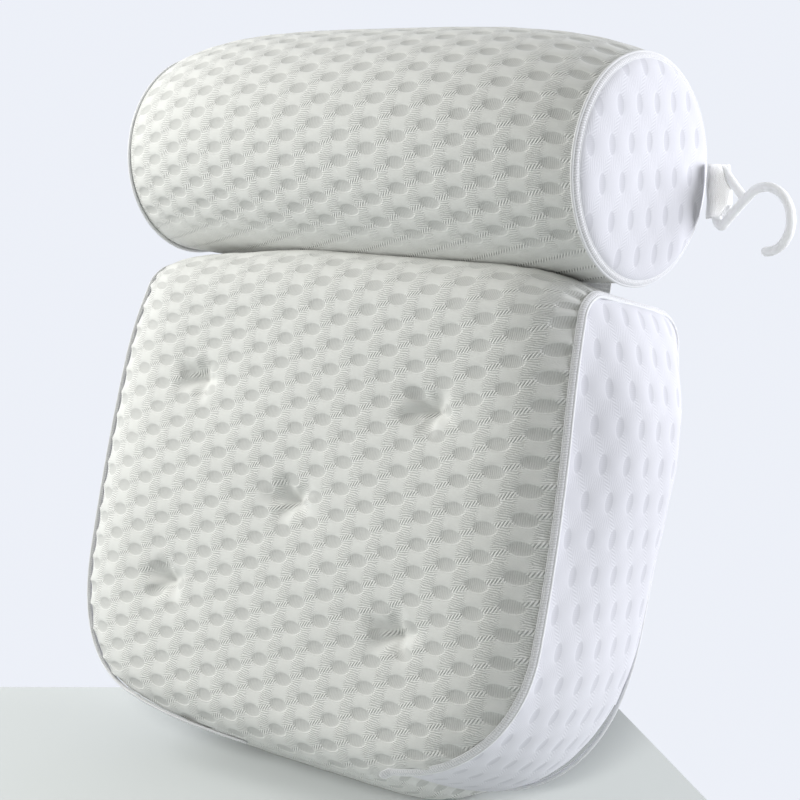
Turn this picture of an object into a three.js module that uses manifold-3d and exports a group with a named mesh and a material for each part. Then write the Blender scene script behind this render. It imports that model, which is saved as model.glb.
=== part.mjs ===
// Bath pillow: a thick tufted back pad with a neck roll hinged along its flat back,
// suction cups on that back, and a webbing tab with a swivelling hook at the roll's right end.
// Millimetres, +Z up. The front faces -Y and the flat back leans away from it.
import * as THREE from 'three';
import { mergeVertices } from 'three/addons/utils/BufferGeometryUtils.js';
import Module from 'manifold-3d';

const wasm = await Module();
wasm.setup();

// Driving dimensions
const leanAngle = 14; // degrees between the flat back and upright
const clearance = 0.35; // between pieces that touch
const fabricThickness = 5; // knitted spacer fabric of every cover
const stuffingGap = 0.8; // between a cover and its stuffing
const toeSlack = 0.8; // the stuffing draws back this much more from the sharp front corners

// Back pad, seen from the front
const padHeight = 270;
const padTopHalfWidth = 165;
const padWidestHalfWidth = 175.5;
const padWidestHeight = 115;
const cornerCentreAcross = 81; // centre of the rounded bottom corners
const frontCornerHeight = 88;
const frontCornerDrop = 86; // from that centre down to the front lower edge
const frontCornerShape = 0.87; // below 1 the front corners are fuller than a round
const rearCornerHeight = 100;
const rearCornerDrop = 110; // and down to the rear lower edge
const gussetEndAcross = 98; // the side strips end here, under the pad

// Back pad, seen from the side
const padDepth = 91; // width of the side strip
const padDepthAtTop = 84;
const padDepthAtTip = 103;
const narrowingHeight = 200; // the strip starts to narrow above this
const topCornerRadius = 14;
const frontCrown = 19; // swell of the front beyond its seams
const topCrown = 5;
const crestRadius = 34; // round of the front over the top, in the middle
const crestCentreHeight = 250;
const toeRadius = 26; // round of the front under the bottom, in the middle
const toeCentreHeight = 18;
const toeTurn = 0.42 * Math.PI; // how far that round goes before the bottom starts
const sideSwell = 9;
const bottomSwell = 13;
const stripEndSwell = 5; // of the side strips at their lower ends
const topSwellShare = 0.5; // share of the side swell that is left at the top corner
const swellRise = 42; // the sides have their full swell this far below that corner
const slackSkew = 0.4; // how far a slack strip's belly hangs towards its rear seam
const crownPower = 4.5; // how late the swell of the top and bottom falls away towards the seams
const frontCrownPower = 9; // and that of the front
const footStartShare = 0.72; // the bottom lies flat on the floor between these shares of its depth
const footEndShare = 0.9;
const restDepth = 16; // depth of the point of that foot that the origin is under

// Sewn tufts
const tuftAcross = 91;
const tuftMiddleHeight = 135;
const tuftSpacing = 61;
const tuftDepth = 17;
const tuftReach = 17;
const tuftPower = 1.5; // how fast the pull dies away
const tieRadius = 1.2;
const knotRadius = 3.5;
const knotLength = 2;

// Neck roll
const rollHalfLength = 172;
const rollEndRadius = 60;
const rollSwell = 10; // extra radius in the middle
const rollLift = 6; // the swell rides up and forward
const rollPush = 5;
const rollFlatness = 3.5; // how late the swell falls away towards the ends
const rollRounding = 0.8;
const rollAxisDepth = 60.3;
const rollRise = 70; // of the roll's axis above the pad's top seam
const rollEndDome = 5;
const nestGap = 1.1; // between the roll and the pad beneath it

// Edge binding, tape and suction cups
const bindingRadius = 3;
const rollBindingRadius = 2.2;
const bindingTail = 5; // free end under the right front corner
const bindingRunStart = 0.8; // the left one runs on under the front, between these shares of its half width
const bindingRunEnd = 0.2;
const tailForward = 0.5; // how far that end turns up and out
const tailDown = 0.6;
const tapeInset = 52; // from the roll's ends
const tapeThickness = 3;
const tapeOverlap = 34; // the tape is sewn on the pad's back from here to the top seam
const cupInset = 67; // of the roll's cups from its ends
const cupTuftGap = 14; // the pad's upper cups are this far outside the tufts
const cupTopInset = 75; // and this far below the pad's top seam
const cupLowerAcross = 62;
const cupRollRise = 6; // above the middle of the roll's flat back
const cupRimRadius = 27;
const cupReach = 20; // from the back's cloth to the rim
const cupLip = 1.8; // width of the flat rim
const cupShoulderRadius = 13;
const cupShoulderRound = 2;
const cupRimRound = 1;
const cupRimEdge = 0.8;
const bellOuterMiddle = { out: 0.55, back: 0.5 }; // shares from the shoulder to the rim
const bellInnerMiddle = { out: 0.45, back: 0.72 };
const bellHollow = 0.45; // share of the reach at which the hollow starts
const bellHollowCrown = 0.05;
const cupNeckRadius = 4.5;
const cupHeadRadius = 9;
const cupHeadLength = 3;
const eyeletRadius = 12;
const eyeletThickness = 2;

// Webbing tab and hook
const tabLength = 6; // from the bend at the seam to the hook's bar
const tabWidth = 22;
const tabFlare = 1.33; // the tab is this much wider at the seam
const foldReach = 6.5; // the webbing's loop goes on beyond the bar
const foldTaper = 0.45; // and is this share of the width at its end
const foldRadius = 1.8;
const tabForward = 2.5; // the tab stands on the ring's side, forward of its rear
const hookSag = 0.6; // the hook hangs this much lower than the tab
const webbingThickness = 1.6;
const tabDrop = 16; // below the roll's axis
const tabTurn = 10; // degrees towards the front
const wireRadius = 2.8;
const barHalfLength = 12;
const eyeCornerAcross = 5;
const eyeCornerHeight = 14.8;
const eyeDepth = 19;
const eyeRound = 1.4; // rounding of the eye's corners
const armRadius = 2.6; // the arm that closes the eye is a little thinner
const hookRadius = 17.3;
const hookCentreAcross = 35;
const hookCentreDrop = 10.5;
const hookStart = 138; // degrees, where the hook's round leaves the eye
const hookSweep = 226; // degrees of that round

// Faceting
const acrossSteps = 20;
const arcSteps = 3;
const sideSteps = 8;
const cornerSteps = 6;
const depthShares = [0, footStartShare / 3, (2 * footStartShare) / 3, footStartShare, footEndShare, 1];
const depthSteps = depthShares.length - 1;
const rollSteps = 14;
const rollSides = 28;
const endRings = [1, 0.7, 0.35, 0]; // shares of the radius
const cupSides = 16;
const plugSides = 10;
const tieSides = 8;
const bindingSides = 6;
const wireSides = 10;
const loopSteps = 10;
const hookSteps = 16;
const cutMargin = 1; // tools reach this far out of what they cut

// Worked-out values
const lean = THREE.MathUtils.degToRad(leanAngle);
const padShoulder = padHeight - topCornerRadius;
const rearLowerHeight = rearCornerHeight - rearCornerDrop;
const frontLowerHeight = frontCornerHeight - frontCornerDrop;
const bindingOffset = bindingRadius + 2 * clearance;
const crestCentreDepth = padDepth + frontCrown - crestRadius;
const toeCentreDepth = padDepth + frontCrown - toeRadius;
const toeLowHeight = toeCentreHeight - toeRadius;
const cornerEndAngle = Math.acos(
  (gussetEndAcross - cornerCentreAcross) / (sideHalfWidth(frontCornerHeight) - cornerCentreAcross),
);
const rollAxisHeight = padHeight + rollRise;
const rollFlatHeight = rollAxisHeight + rollLift;
const rollMiddleRadius = rollEndRadius + rollSwell;
const rollMiddleDepth = rollAxisDepth + rollPush;
const tapeHalfLength = rollHalfLength - tapeInset;
const tapeLowerHeight = padHeight - tapeOverlap;
const tapeUpperHeight = rollFlatHeight - Math.sqrt(rollMiddleRadius ** 2 - rollMiddleDepth ** 2);

// The pad stands on the binding at its rear lower edge: this is that level, square to the floor.
const seamDiagonal = bindingOffset * Math.SQRT1_2;
const floorLevel =
  (rearLowerHeight - seamDiagonal) * Math.cos(lean) - seamDiagonal * Math.sin(lean) - bindingRadius;
const cupUpperAcross = tuftAcross + cupTuftGap;
const cupUpperHeight = padHeight - cupTopInset;
const cupRollAcross = rollHalfLength - cupInset;
const cupRollHeight = rollFlatHeight + cupRollRise;
const cupLowerHeight = cupRimRadius + floorHeight(-cupReach) + clearance;

const clothMaterial = { color: 0xf1f2f0, roughness: 0.95, metalness: 0 };
const sideClothMaterial = { color: 0xf4f5f8, roughness: 0.95, metalness: 0 };
const bindingMaterial = { color: 0xeeeff1, roughness: 0.85, metalness: 0 };
const fillingMaterial = { color: 0xe6e4dc, roughness: 1, metalness: 0 };
const webbingMaterial = { color: 0xf2f2f2, roughness: 0.8, metalness: 0 };
const hookMaterial = { color: 0xf6f7f8, roughness: 0.3, metalness: 0 };
const cupMaterial = { color: 0xdfe6ea, roughness: 0.2, metalness: 0 };

// A place on the pillow: across to the right, forward of the flat back, and up along it.
function place(across, depth, height) {
  return new THREE.Vector3(across, -depth, height);
}

function mix(from, to, share) {
  return from + (to - from) * share;
}

// Height along the back of the floor, at a given depth.
function floorHeight(depth) {
  return (floorLevel - depth * Math.sin(lean)) / Math.cos(lean);
}

// Half width of the pad between its side seams.
function sideHalfWidth(height) {
  const rise = (height - padWidestHeight) / (padHeight - padWidestHeight);
  return padWidestHalfWidth - (padWidestHalfWidth - padTopHalfWidth) * rise ** 2;
}

// Width of the side strip at a height: it narrows towards the top.
function stripDepth(height) {
  const rise = Math.max(0, (height - narrowingHeight) / (padHeight - narrowingHeight));
  return padDepth - (padDepth - padDepthAtTop) * rise ** 2;
}

// Swell of a stuffed strip between its two seams; a slack one hangs towards its rear seam.
function swellShape(share, slack) {
  return Math.sin(Math.PI * share ** (1 - slackSkew * slack));
}

// Rows of the right side strip, from its top edge down and round the bottom corner.
const stripRows = [];
for (let step = 0; step <= arcSteps; step += 1) {
  stripRows.push({ part: 'arc', angle: (step / arcSteps) * (Math.PI / 2) });
}
for (let step = 1; step <= sideSteps; step += 1) {
  stripRows.push({ part: 'side', down: step / sideSteps });
}
for (let step = 1; step <= cornerSteps; step += 1) {
  stripRows.push({ part: 'corner', angle: (step / cornerSteps) * cornerEndAngle });
}
const lastRow = stripRows.length - 1;

// One point of the right side strip. Share runs from 0 at the front seam to 1 at the rear seam,
// and inset moves the surface in towards the stuffing.
function stripPoint(row, share, inset) {
  const { part, angle, down } = stripRows[row];
  const cornerHeight = mix(frontCornerHeight, rearCornerHeight, share);
  let frontDepth;
  let rearDepth = inset;
  let across;
  let up;
  let outAcross = 1;
  let outUp = 0;
  let swell = sideSwell;
  let slack = 0;
  if (part === 'arc') {
    const radius = topCornerRadius - inset;
    up = padShoulder + radius * Math.cos(angle);
    frontDepth = stripDepth(up) - inset - radius * (1 - Math.sin(angle));
    rearDepth += radius * (1 - Math.sin(angle));
    across = sideHalfWidth(up) - inset;
    swell *= topSwellShare * Math.sin(angle);
  } else if (part === 'side') {
    up = mix(padShoulder, cornerHeight, down);
    frontDepth = stripDepth(up) - inset;
    across = sideHalfWidth(up) - inset;
    swell *= mix(topSwellShare, 1, Math.min(1, (padShoulder - up) / swellRise));
  } else {
    const reach = sideHalfWidth(cornerHeight) - cornerCentreAcross - inset;
    const drop = mix(frontCornerDrop, rearCornerDrop, share) - inset;
    slack = Math.sin(angle) ** 2;
    const shape = mix(frontCornerShape, 1, share);
    across = cornerCentreAcross + reach * Math.cos(angle) ** shape;
    up = cornerHeight - drop * Math.sin(angle) ** shape;
    frontDepth = mix(padDepth, padDepthAtTip, slack) - inset;
    outAcross = Math.cos(angle);
    outUp = -Math.sin(angle);
    swell = mix(sideSwell, stripEndSwell, slack);
  }
  const bulge = swell * swellShape(1 - share, slack);
  const depth = mix(frontDepth, rearDepth, share);
  const low = floorHeight(depth) + inset / Math.cos(lean);
  return place(across + bulge * outAcross, depth, Math.max(up + bulge * outUp, low));
}

// How much of its swell the roll has at a place along its length.
function rollFullness(across) {
  const share = Math.min(1, Math.abs(across) / rollHalfLength);
  return (1 - share ** rollFlatness) ** rollRounding;
}

function rollSection(across) {
  const full = rollFullness(across);
  return {
    depth: rollAxisDepth + rollPush * full,
    height: rollAxisHeight + rollLift * full,
    radius: rollEndRadius + rollSwell * full,
  };
}

// A point on the roll's barrel. Its back is pressed flat, in line with the pad's back.
function rollPoint(across, turn, inset) {
  const section = rollSection(across);
  const radius = section.radius - inset;
  const depth = Math.max(section.depth + radius * Math.cos(turn), inset);
  return place(across, depth, section.height + radius * Math.sin(turn));
}

// Presses a point of the pad out from under the roll that rests on it.
function underRoll(point, inset) {
  const section = rollSection(point.x);
  const reach = section.radius + nestGap + inset;
  const ahead = -point.y - section.depth;
  if (Math.abs(ahead) >= reach) {
    return point;
  }
  const top = section.height - Math.sqrt(reach ** 2 - ahead ** 2);
  return new THREE.Vector3(point.x, point.y, Math.min(point.z, top));
}

const tufts = [
  [-tuftAcross, tuftMiddleHeight + tuftSpacing],
  [tuftAcross, tuftMiddleHeight + tuftSpacing],
  [0, tuftMiddleHeight],
  [-tuftAcross, tuftMiddleHeight - tuftSpacing],
  [tuftAcross, tuftMiddleHeight - tuftSpacing],
];

function tuftPull(across, height) {
  const pulls = tufts.map(([x, z]) => {
    const away = ((across - x) ** 2 + (height - z) ** 2) / tuftReach ** 2;
    return tuftDepth / (1 + away) ** tuftPower;
  });
  return Math.max(...pulls);
}

// Rows of the front cover: it starts on the back, comes over the top, down the front and under.
// Each row has its end on the right seam and its middle point.
function frontRows(inset) {
  const rows = [];
  const crest = crestRadius - inset;
  const toe = toeRadius - inset;
  const topHeight = padHeight + topCrown - inset;
  const crestHeight = crestCentreHeight + crest;
  for (let row = arcSteps; row >= 0; row -= 1) {
    const edge = stripPoint(row, 1, inset);
    const rise = topCrown * Math.cos(stripRows[row].angle);
    rows.push({ edge, depth: -edge.y, height: edge.z + rise, front: false });
  }
  const rearDepth = rows[rows.length - 1].depth;
  for (let step = 1; step <= depthSteps; step += 1) {
    const share = 1 - depthShares[depthSteps - step];
    rows.push({
      edge: stripPoint(0, 1 - share, inset),
      depth: mix(rearDepth, crestCentreDepth, share),
      height: mix(topHeight, crestHeight, share),
      front: false,
    });
  }
  for (let row = 1; row <= lastRow; row += 1) {
    const { part, angle } = stripRows[row];
    const edge = stripPoint(row, 0, inset);
    let depth = padDepth + frontCrown - inset;
    let height = edge.z;
    if (part === 'arc') {
      depth = crestCentreDepth + crest * Math.sin(angle);
      height = crestCentreHeight + crest * Math.cos(angle);
    } else if (part === 'side') {
      height = mix(crestCentreHeight, frontCornerHeight, stripRows[row].down);
    } else {
      const seamHeight = stripPoint(row, 0, 0).z;
      const fall = Math.max(0, toeCentreHeight - seamHeight);
      const turn = (toeTurn * fall) / (toeCentreHeight - frontLowerHeight);
      depth = toeCentreDepth + toe * Math.cos(turn);
      height = Math.max(seamHeight, toeCentreHeight) - toe * Math.sin(turn);
    }
    rows.push({ edge, depth, height, front: true });
  }
  for (let step = 1; step <= depthSteps; step += 1) {
    const share = depthShares[step];
    const drop = bottomSwell * swellShape(1 - share, 1);
    rows.push({
      edge: stripPoint(lastRow, share, inset),
      depth: mix(toeCentreDepth, inset, share),
      height: mix(toeLowHeight, rearLowerHeight, share) + inset - drop,
      front: false,
    });
  }
  return rows;
}

// One point of the front cover. Along runs from -1 at the left seam to 1 at the right seam.
function frontPoint(row, along, inset) {
  const { edge } = row;
  const swell = 1 - Math.abs(along) ** crownPower;
  const push = row.front ? 1 - Math.abs(along) ** frontCrownPower : swell;
  const across = along * edge.x;
  let depth = mix(-edge.y, row.depth, push);
  let height = mix(edge.z, row.height, swell);
  if (row.front) {
    depth -= tuftPull(across, height);
  }
  height = Math.max(height, floorHeight(depth) + inset / Math.cos(lean));
  return underRoll(place(across, depth, height), inset);
}

// Outline of the flat back, as points across and up, clockwise from its top right corner.
function backOutline(inset, trim) {
  const right = [];
  for (let row = arcSteps; row <= lastRow; row += 1) {
    const point = stripPoint(row, 1, inset);
    right.push(new THREE.Vector2(point.x - trim, point.z));
  }
  right[0].y -= trim;
  right[right.length - 1].y += trim;
  const left = right.map((point) => new THREE.Vector2(-point.x, point.y));
  return right.concat(left.reverse());
}

// Triangles of a grid of points, as a flat list of corners. The first columns, up to a given one,
// are cut along the other diagonal, so that a left half mirrors its right half.
function gridFaces(grid, mirroredColumns = 0) {
  const faces = [];
  for (let i = 0; i + 1 < grid.length; i += 1) {
    for (let j = 0; j + 1 < grid[i].length; j += 1) {
      const [a, b] = [grid[i][j], grid[i][j + 1]];
      const [c, d] = [grid[i + 1][j], grid[i + 1][j + 1]];
      if (j < mirroredColumns) {
        faces.push(a, b, c, b, d, c);
      } else {
        faces.push(a, b, d, a, d, c);
      }
    }
  }
  return faces;
}

function flipFaces(faces) {
  return faces.slice().reverse();
}

// A closed geometry from a list of triangle corners, turned so that its faces point out.
function closedGeometry(faces) {
  let volume = 0;
  for (let i = 0; i < faces.length; i += 3) {
    volume += faces[i].dot(faces[i + 1].clone().cross(faces[i + 2]));
  }
  const corners = volume < 0 ? flipFaces(faces) : faces;
  const geometry = new THREE.BufferGeometry();
  const values = corners.flatMap((corner) => corner.toArray());
  geometry.setAttribute('position', new THREE.Float32BufferAttribute(values, 3));
  return dropThinFaces(mergeVertices(geometry, 1e-3));
}

// Leaves out faces that merging has closed up to a line.
function dropThinFaces(geometry) {
  const index = Array.from(geometry.index.array);
  const kept = [];
  for (let i = 0; i < index.length; i += 3) {
    const [a, b, c] = index.slice(i, i + 3);
    if (a !== b && b !== c && a !== c) {
      kept.push(a, b, c);
    }
  }
  geometry.setIndex(kept);
  return geometry;
}

// A sheet of cloth between an outer and an inner grid, closed round its edge.
function sheetSolid(outer, inner, mirroredColumns = 0) {
  const rim = (grid) => {
    const last = grid.length - 1;
    const end = grid[0].length - 1;
    return [
      ...grid[0].slice(0, end),
      ...grid.slice(0, last).map((line) => line[end]),
      ...grid[last].slice(1).reverse(),
      ...grid.slice(1).map((line) => line[0]).reverse(),
      grid[0][0],
    ];
  };
  return closedGeometry([
    ...gridFaces(outer, mirroredColumns),
    ...flipFaces(gridFaces(inner, mirroredColumns)),
    ...flipFaces(gridFaces([rim(outer), rim(inner)])),
  ]);
}

// A flat plate between two like outlines, with round holes through it.
function plateSolid(outer, inner, outerDepth, innerDepth, holes) {
  const faces = [];
  const sides = [outer, inner].map((outline, side) => {
    const depth = side === 0 ? outerDepth : innerDepth;
    const loops = [outline, ...holes];
    const cut = THREE.ShapeUtils.triangulateShape(outline, holes);
    const points = loops.flat().map((point) => place(point.x, depth, point.y));
    const corners = cut.flat().map((corner) => points[corner]);
    faces.push(...(side === 0 ? corners : flipFaces(corners)));
    return loops.map((loop) => loop.map((point) => place(point.x, depth, point.y)));
  });
  sides[0].forEach((loop, k) => {
    const first = [...loop, loop[0]];
    const second = [...sides[1][k], sides[1][k][0]];
    faces.push(...gridFaces([first, second]));
  });
  return closedGeometry(faces);
}

function circle(across, height, radius, sides) {
  const points = [];
  for (let side = 0; side < sides; side += 1) {
    const turn = (2 * Math.PI * side) / sides;
    points.push(new THREE.Vector2(across + radius * Math.cos(turn), height + radius * Math.sin(turn)));
  }
  return points;
}

// Even shares from -reach to reach.
function sharesAcross(steps, reach) {
  return Array.from({ length: steps + 1 }, (unused, step) => reach * ((2 * step) / steps - 1));
}

function toManifold(geometry) {
  const bare = geometry.clone();
  bare.deleteAttribute('normal');
  bare.deleteAttribute('uv');
  const merged = mergeVertices(bare, 1e-3);
  const vertProperties = new Float32Array(merged.attributes.position.array);
  const triVerts = new Uint32Array(merged.index.array);
  return new wasm.Manifold(new wasm.Mesh({ numProp: 3, vertProperties, triVerts }));
}

function fromManifold(solid) {
  const { vertProperties, triVerts } = solid.getMesh();
  const geometry = new THREE.BufferGeometry();
  geometry.setAttribute('position', new THREE.BufferAttribute(vertProperties, 3));
  geometry.setIndex(new THREE.BufferAttribute(triVerts, 1));
  return geometry;
}

function cutAway(geometry, tools) {
  const solid = tools.reduce((left, tool) => left.subtract(toManifold(tool)), toManifold(geometry));
  return fromManifold(solid);
}

// A plug square to the back, for cutting, from one depth to another; its flats clear the radius.
function backPlug(across, height, radius, fromDepth, toDepth) {
  const corner = radius / Math.cos(Math.PI / plugSides);
  const plug = new THREE.CylinderGeometry(corner, corner, toDepth - fromDepth, plugSides);
  plug.translate(across, -(fromDepth + toDepth) / 2, height);
  return plug;
}

// A path through given stations, swept with a ring of the section at each of them.
class StationPath extends THREE.Curve {
  constructor(stations) {
    super();
    this.stations = stations;
  }

  getPoint(share) {
    const along = share * (this.stations.length - 1);
    const first = Math.min(Math.floor(along), this.stations.length - 2);
    return this.stations[first].clone().lerp(this.stations[first + 1], along - first);
  }

  getPointAt(share) {
    return this.getPoint(share);
  }

  getTangentAt(share) {
    const step = 1 / (this.stations.length - 1);
    const before = this.getPoint(Math.max(0, share - step));
    const after = this.getPoint(Math.min(1, share + step));
    return after.sub(before).normalize();
  }
}

function sweptRod(stations, radius, sides) {
  const section = new THREE.Shape(circle(0, 0, radius, sides));
  const steps = stations.length - 1;
  const extrudePath = new StationPath(stations);
  return new THREE.ExtrudeGeometry(section, { steps, extrudePath, bevelEnabled: false });
}

const pillow = new THREE.Group();
pillow.rotation.x = -lean;

function addPiece(parent, name, geometry, material) {
  const mesh = new THREE.Mesh(geometry, new THREE.MeshStandardMaterial(material));
  mesh.name = name;
  parent.add(mesh);
  return mesh;
}

// Pad covers
const outerRows = frontRows(0);
const innerRows = frontRows(fabricThickness);
const stuffingInset = fabricThickness + stuffingGap;
const seatInset = fabricThickness + clearance; // for what bears on a cover from inside
const seamTrim = clearance / 2;
const coverReach = 1 - seamTrim / padTopHalfWidth;
const coverShares = sharesAcross(acrossSteps, coverReach);

function frontGrid(rows, inset) {
  return rows.map((row) => coverShares.map((share) => frontPoint(row, share, inset)));
}

addPiece(
  pillow,
  'pad_front_cover',
  sheetSolid(frontGrid(outerRows, 0), frontGrid(innerRows, fabricThickness), acrossSteps / 2),
  clothMaterial,
);

function mirrored(point) {
  return new THREE.Vector3(-point.x, point.y, point.z);
}

// The side strip, trimmed back from the seams on all four edges.
function stripGrid(inset, trim) {
  const shareTrim = trim / padDepth;
  const grid = stripRows.map((unused, row) => {
    const line = [];
    for (let step = 0; step <= depthSteps; step += 1) {
      line.push(stripPoint(row, mix(shareTrim, 1 - shareTrim, depthShares[step]), inset));
    }
    return line;
  });
  grid[0].forEach((point) => point.setZ(point.z - trim));
  grid[lastRow].forEach((point) => point.setX(point.x + trim));
  return grid;
}

for (const [side, turn] of [['left', mirrored], ['right', (point) => point]]) {
  const outer = stripGrid(0, clearance).map((line) => line.map(turn));
  const inner = stripGrid(fabricThickness, clearance).map((line) => line.map(turn));
  addPiece(pillow, `pad_side_strip_${side}`, sheetSolid(outer, inner), sideClothMaterial);
}

const padCups = [
  ['lower_left', -cupLowerAcross, cupLowerHeight],
  ['lower_right', cupLowerAcross, cupLowerHeight],
  ['upper_left', -cupUpperAcross, cupUpperHeight],
  ['upper_right', cupUpperAcross, cupUpperHeight],
];
const rollCups = [
  ['roll_left', -cupRollAcross, cupRollHeight],
  ['roll_right', cupRollAcross, cupRollHeight],
];

const neckHole = cupNeckRadius + 2 * clearance;
addPiece(
  pillow,
  'pad_back_cover',
  plateSolid(
    backOutline(0, clearance),
    backOutline(fabricThickness, clearance),
    0,
    fabricThickness,
    padCups.map(([, across, height]) => circle(across, height, neckHole, cupSides)),
  ),
  clothMaterial,
);

// Stuffing, bored for the tuft ties and hollowed for the cups' heads
const headPocket = cupHeadRadius + clearance;
const headPocketDepth = seatInset + cupHeadLength + clearance;
const fillingShares = sharesAcross(acrossSteps, 1);

function padFilling() {
  const rows = frontRows(stuffingInset);
  const tipRow = frontRowOf(lastRow);
  for (const row of rows.slice(tipRow - 1, tipRow + 1)) {
    row.edge.add(place(0, -toeSlack, toeSlack));
    row.depth -= toeSlack;
    row.height += toeSlack;
  }
  const front = rows.map((row) => fillingShares.map((share) => frontPoint(row, share, stuffingInset)));
  const strip = stripRows.map((unused, row) => {
    const line = [];
    for (let step = 0; step <= depthSteps; step += 1) {
      line.push(stripPoint(row, depthShares[step], stuffingInset));
    }
    return line;
  });
  strip.forEach((line, row) => {
    line[0].copy(rightEnd(front, frontRowOf(row)));
  });
  strip[0].forEach((point, step) => point.copy(rightEnd(front, arcSteps + depthSteps - step)));
  strip[lastRow].forEach((point, step) => point.copy(rightEnd(front, frontRowOf(lastRow) + step)));
  for (let row = 0; row <= arcSteps; row += 1) {
    strip[row][depthSteps].copy(rightEnd(front, arcSteps - row));
  }
  const left = strip.map((line) => line.map(mirrored));
  const rearRight = strip.slice(arcSteps).map((line) => line[depthSteps]);
  const bottomRow = front[front.length - 1].slice(1, -1).reverse();
  const rearLeft = rearRight.map(mirrored).reverse();
  const topRow = front[0].slice(1, -1);
  const rim = [...rearRight, ...bottomRow, ...rearLeft, ...topRow];
  const middle = place(0, stuffingInset, padWidestHeight);
  const back = rim.flatMap((point, k) => [middle, rim[(k + 1) % rim.length], point]);
  return closedGeometry([
    ...gridFaces(front, acrossSteps / 2),
    ...gridFaces(strip),
    ...flipFaces(gridFaces(left)),
    ...back,
  ]);
}

function rightEnd(grid, row) {
  return grid[row][acrossSteps];
}

function frontRowOf(row) {
  return row === 0 ? arcSteps + depthSteps : arcSteps + depthSteps + row;
}

const tieBore = tieRadius + clearance;
const knotBore = knotRadius + clearance;
const tuftFloor = padDepth + frontCrown - fabricThickness - tuftDepth;
const fillingTools = [
  ...tufts.map(([x, z]) => backPlug(x, z, tieBore, 0, padDepth + frontCrown)),
  ...tufts.map(([x, z]) => backPlug(x, z, knotBore, 0, seatInset + knotLength + clearance)),
  ...tufts.map(([x, z]) =>
    backPlug(x, z, knotBore, tuftFloor - knotLength - 2 * clearance, padDepth + frontCrown),
  ),
  ...padCups.map(([, x, z]) => backPlug(x, z, headPocket, 0, headPocketDepth)),
];
addPiece(pillow, 'pad_filling', cutAway(padFilling(), fillingTools), fillingMaterial);

// Tuft ties: a cord through the stuffing with a knot sewn to each cover
const tieFront = tuftFloor - clearance;
const tieProfile = [
  [0, -tieFront],
  [knotRadius, -tieFront],
  [knotRadius, -tieFront + knotLength],
  [tieRadius, -tieFront + knotLength],
  [tieRadius, -seatInset - knotLength],
  [knotRadius, -seatInset - knotLength],
  [knotRadius, -seatInset],
  [0, -seatInset],
];
const tuftNames = ['upper_left', 'upper_right', 'middle', 'lower_left', 'lower_right'];
tufts.forEach(([across, height], k) => {
  const outline = tieProfile.map(([radius, back]) => new THREE.Vector2(radius, back));
  const tie = new THREE.LatheGeometry(outline, tieSides);
  tie.translate(across, 0, height);
  addPiece(pillow, `tuft_tie_${tuftNames[k]}`, tie, bindingMaterial);
});

// Edge binding round each side strip, in one length: up the rear seam, over the top,
// down the front seam and round the corner. The right one ends there in a free tail, and the
// left one runs on along the round under the front.
function bindingStations(runsOn) {
  const stations = [];
  const lay = (row, share, panelDepth, panelUp) => {
    const { part, angle } = stripRows[row];
    const turned = part === 'corner' ? angle : 0;
    const out = place(Math.cos(turned), panelDepth, panelUp - Math.sin(turned)).normalize();
    const point = stripPoint(row, share, 0).addScaledVector(out, bindingOffset);
    const low = floorHeight(-point.y) + bindingRadius / Math.cos(lean);
    stations.push(point.setZ(Math.max(point.z, low)));
  };
  for (let row = lastRow; row > arcSteps; row -= 1) {
    lay(row, 1, -1, 0);
  }
  for (let row = arcSteps; row >= 0; row -= 1) {
    const { angle } = stripRows[row];
    lay(row, 1, -Math.sin(angle), Math.cos(angle));
  }
  lay(0, 0.5, 0, 1);
  for (let row = 0; row <= arcSteps; row += 1) {
    const { angle } = stripRows[row];
    lay(row, 0, Math.sin(angle), Math.cos(angle));
  }
  for (let row = arcSteps + 1; row <= lastRow; row += 1) {
    lay(row, 0, 1, 0);
  }
  if (runsOn) {
    const under = place(0, Math.cos(toeTurn), -Math.sin(toeTurn));
    const toeRow = outerRows[frontRowOf(lastRow)];
    const columns = acrossSteps / 2;
    const first = Math.round(bindingRunStart * columns);
    for (let column = first; column >= bindingRunEnd * columns; column -= 1) {
      const point = frontPoint(toeRow, (coverReach * column) / columns, 0);
      stations.push(point.addScaledVector(under, bindingOffset));
    }
    return stations;
  }
  const tip = stations[stations.length - 1];
  const along = tip.clone().sub(stations[stations.length - 2]).normalize();
  const flick = place(0, tailForward, -tailDown);
  stations.push(tip.clone().addScaledVector(along.add(flick).normalize(), bindingTail));
  return stations;
}

for (const [side, turn] of [['left', mirrored], ['right', (point) => point]]) {
  const stations = bindingStations(side === 'left').map(turn);
  addPiece(pillow, `side_binding_${side}`, sweptRod(stations, bindingRadius, bindingSides), bindingMaterial);
}

// Neck roll: barrel cover, two domed ends, stuffing and end bindings
const barrelShares = sharesAcross(rollSteps, 1).map((share) => Math.sin((share * Math.PI) / 2));

function rollRing(across, inset) {
  const ring = [];
  for (let side = 0; side <= rollSides; side += 1) {
    ring.push(rollPoint(across, (2 * Math.PI * (side % rollSides)) / rollSides, inset));
  }
  return ring;
}

function barrelGrid(halfLength, inset) {
  return barrelShares.map((share) => rollRing(share * halfLength, inset));
}

const barrelOuter = barrelGrid(rollHalfLength, 0);
const barrelInner = barrelGrid(rollHalfLength, fabricThickness);
const barrelEnds = [0, rollSteps].map((end) => gridFaces([barrelOuter[end], barrelInner[end]]));
const barrelCover = closedGeometry([
  ...gridFaces(barrelOuter),
  ...flipFaces(gridFaces(barrelInner)),
  ...flipFaces(barrelEnds[0]),
  ...barrelEnds[1],
]);
const rollNecks = rollCups.map(([, x, z]) => {
  return backPlug(x, z, neckHole, -cutMargin, fabricThickness + cutMargin);
});
addPiece(pillow, 'roll_barrel_cover', cutAway(barrelCover, rollNecks), clothMaterial);

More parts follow.
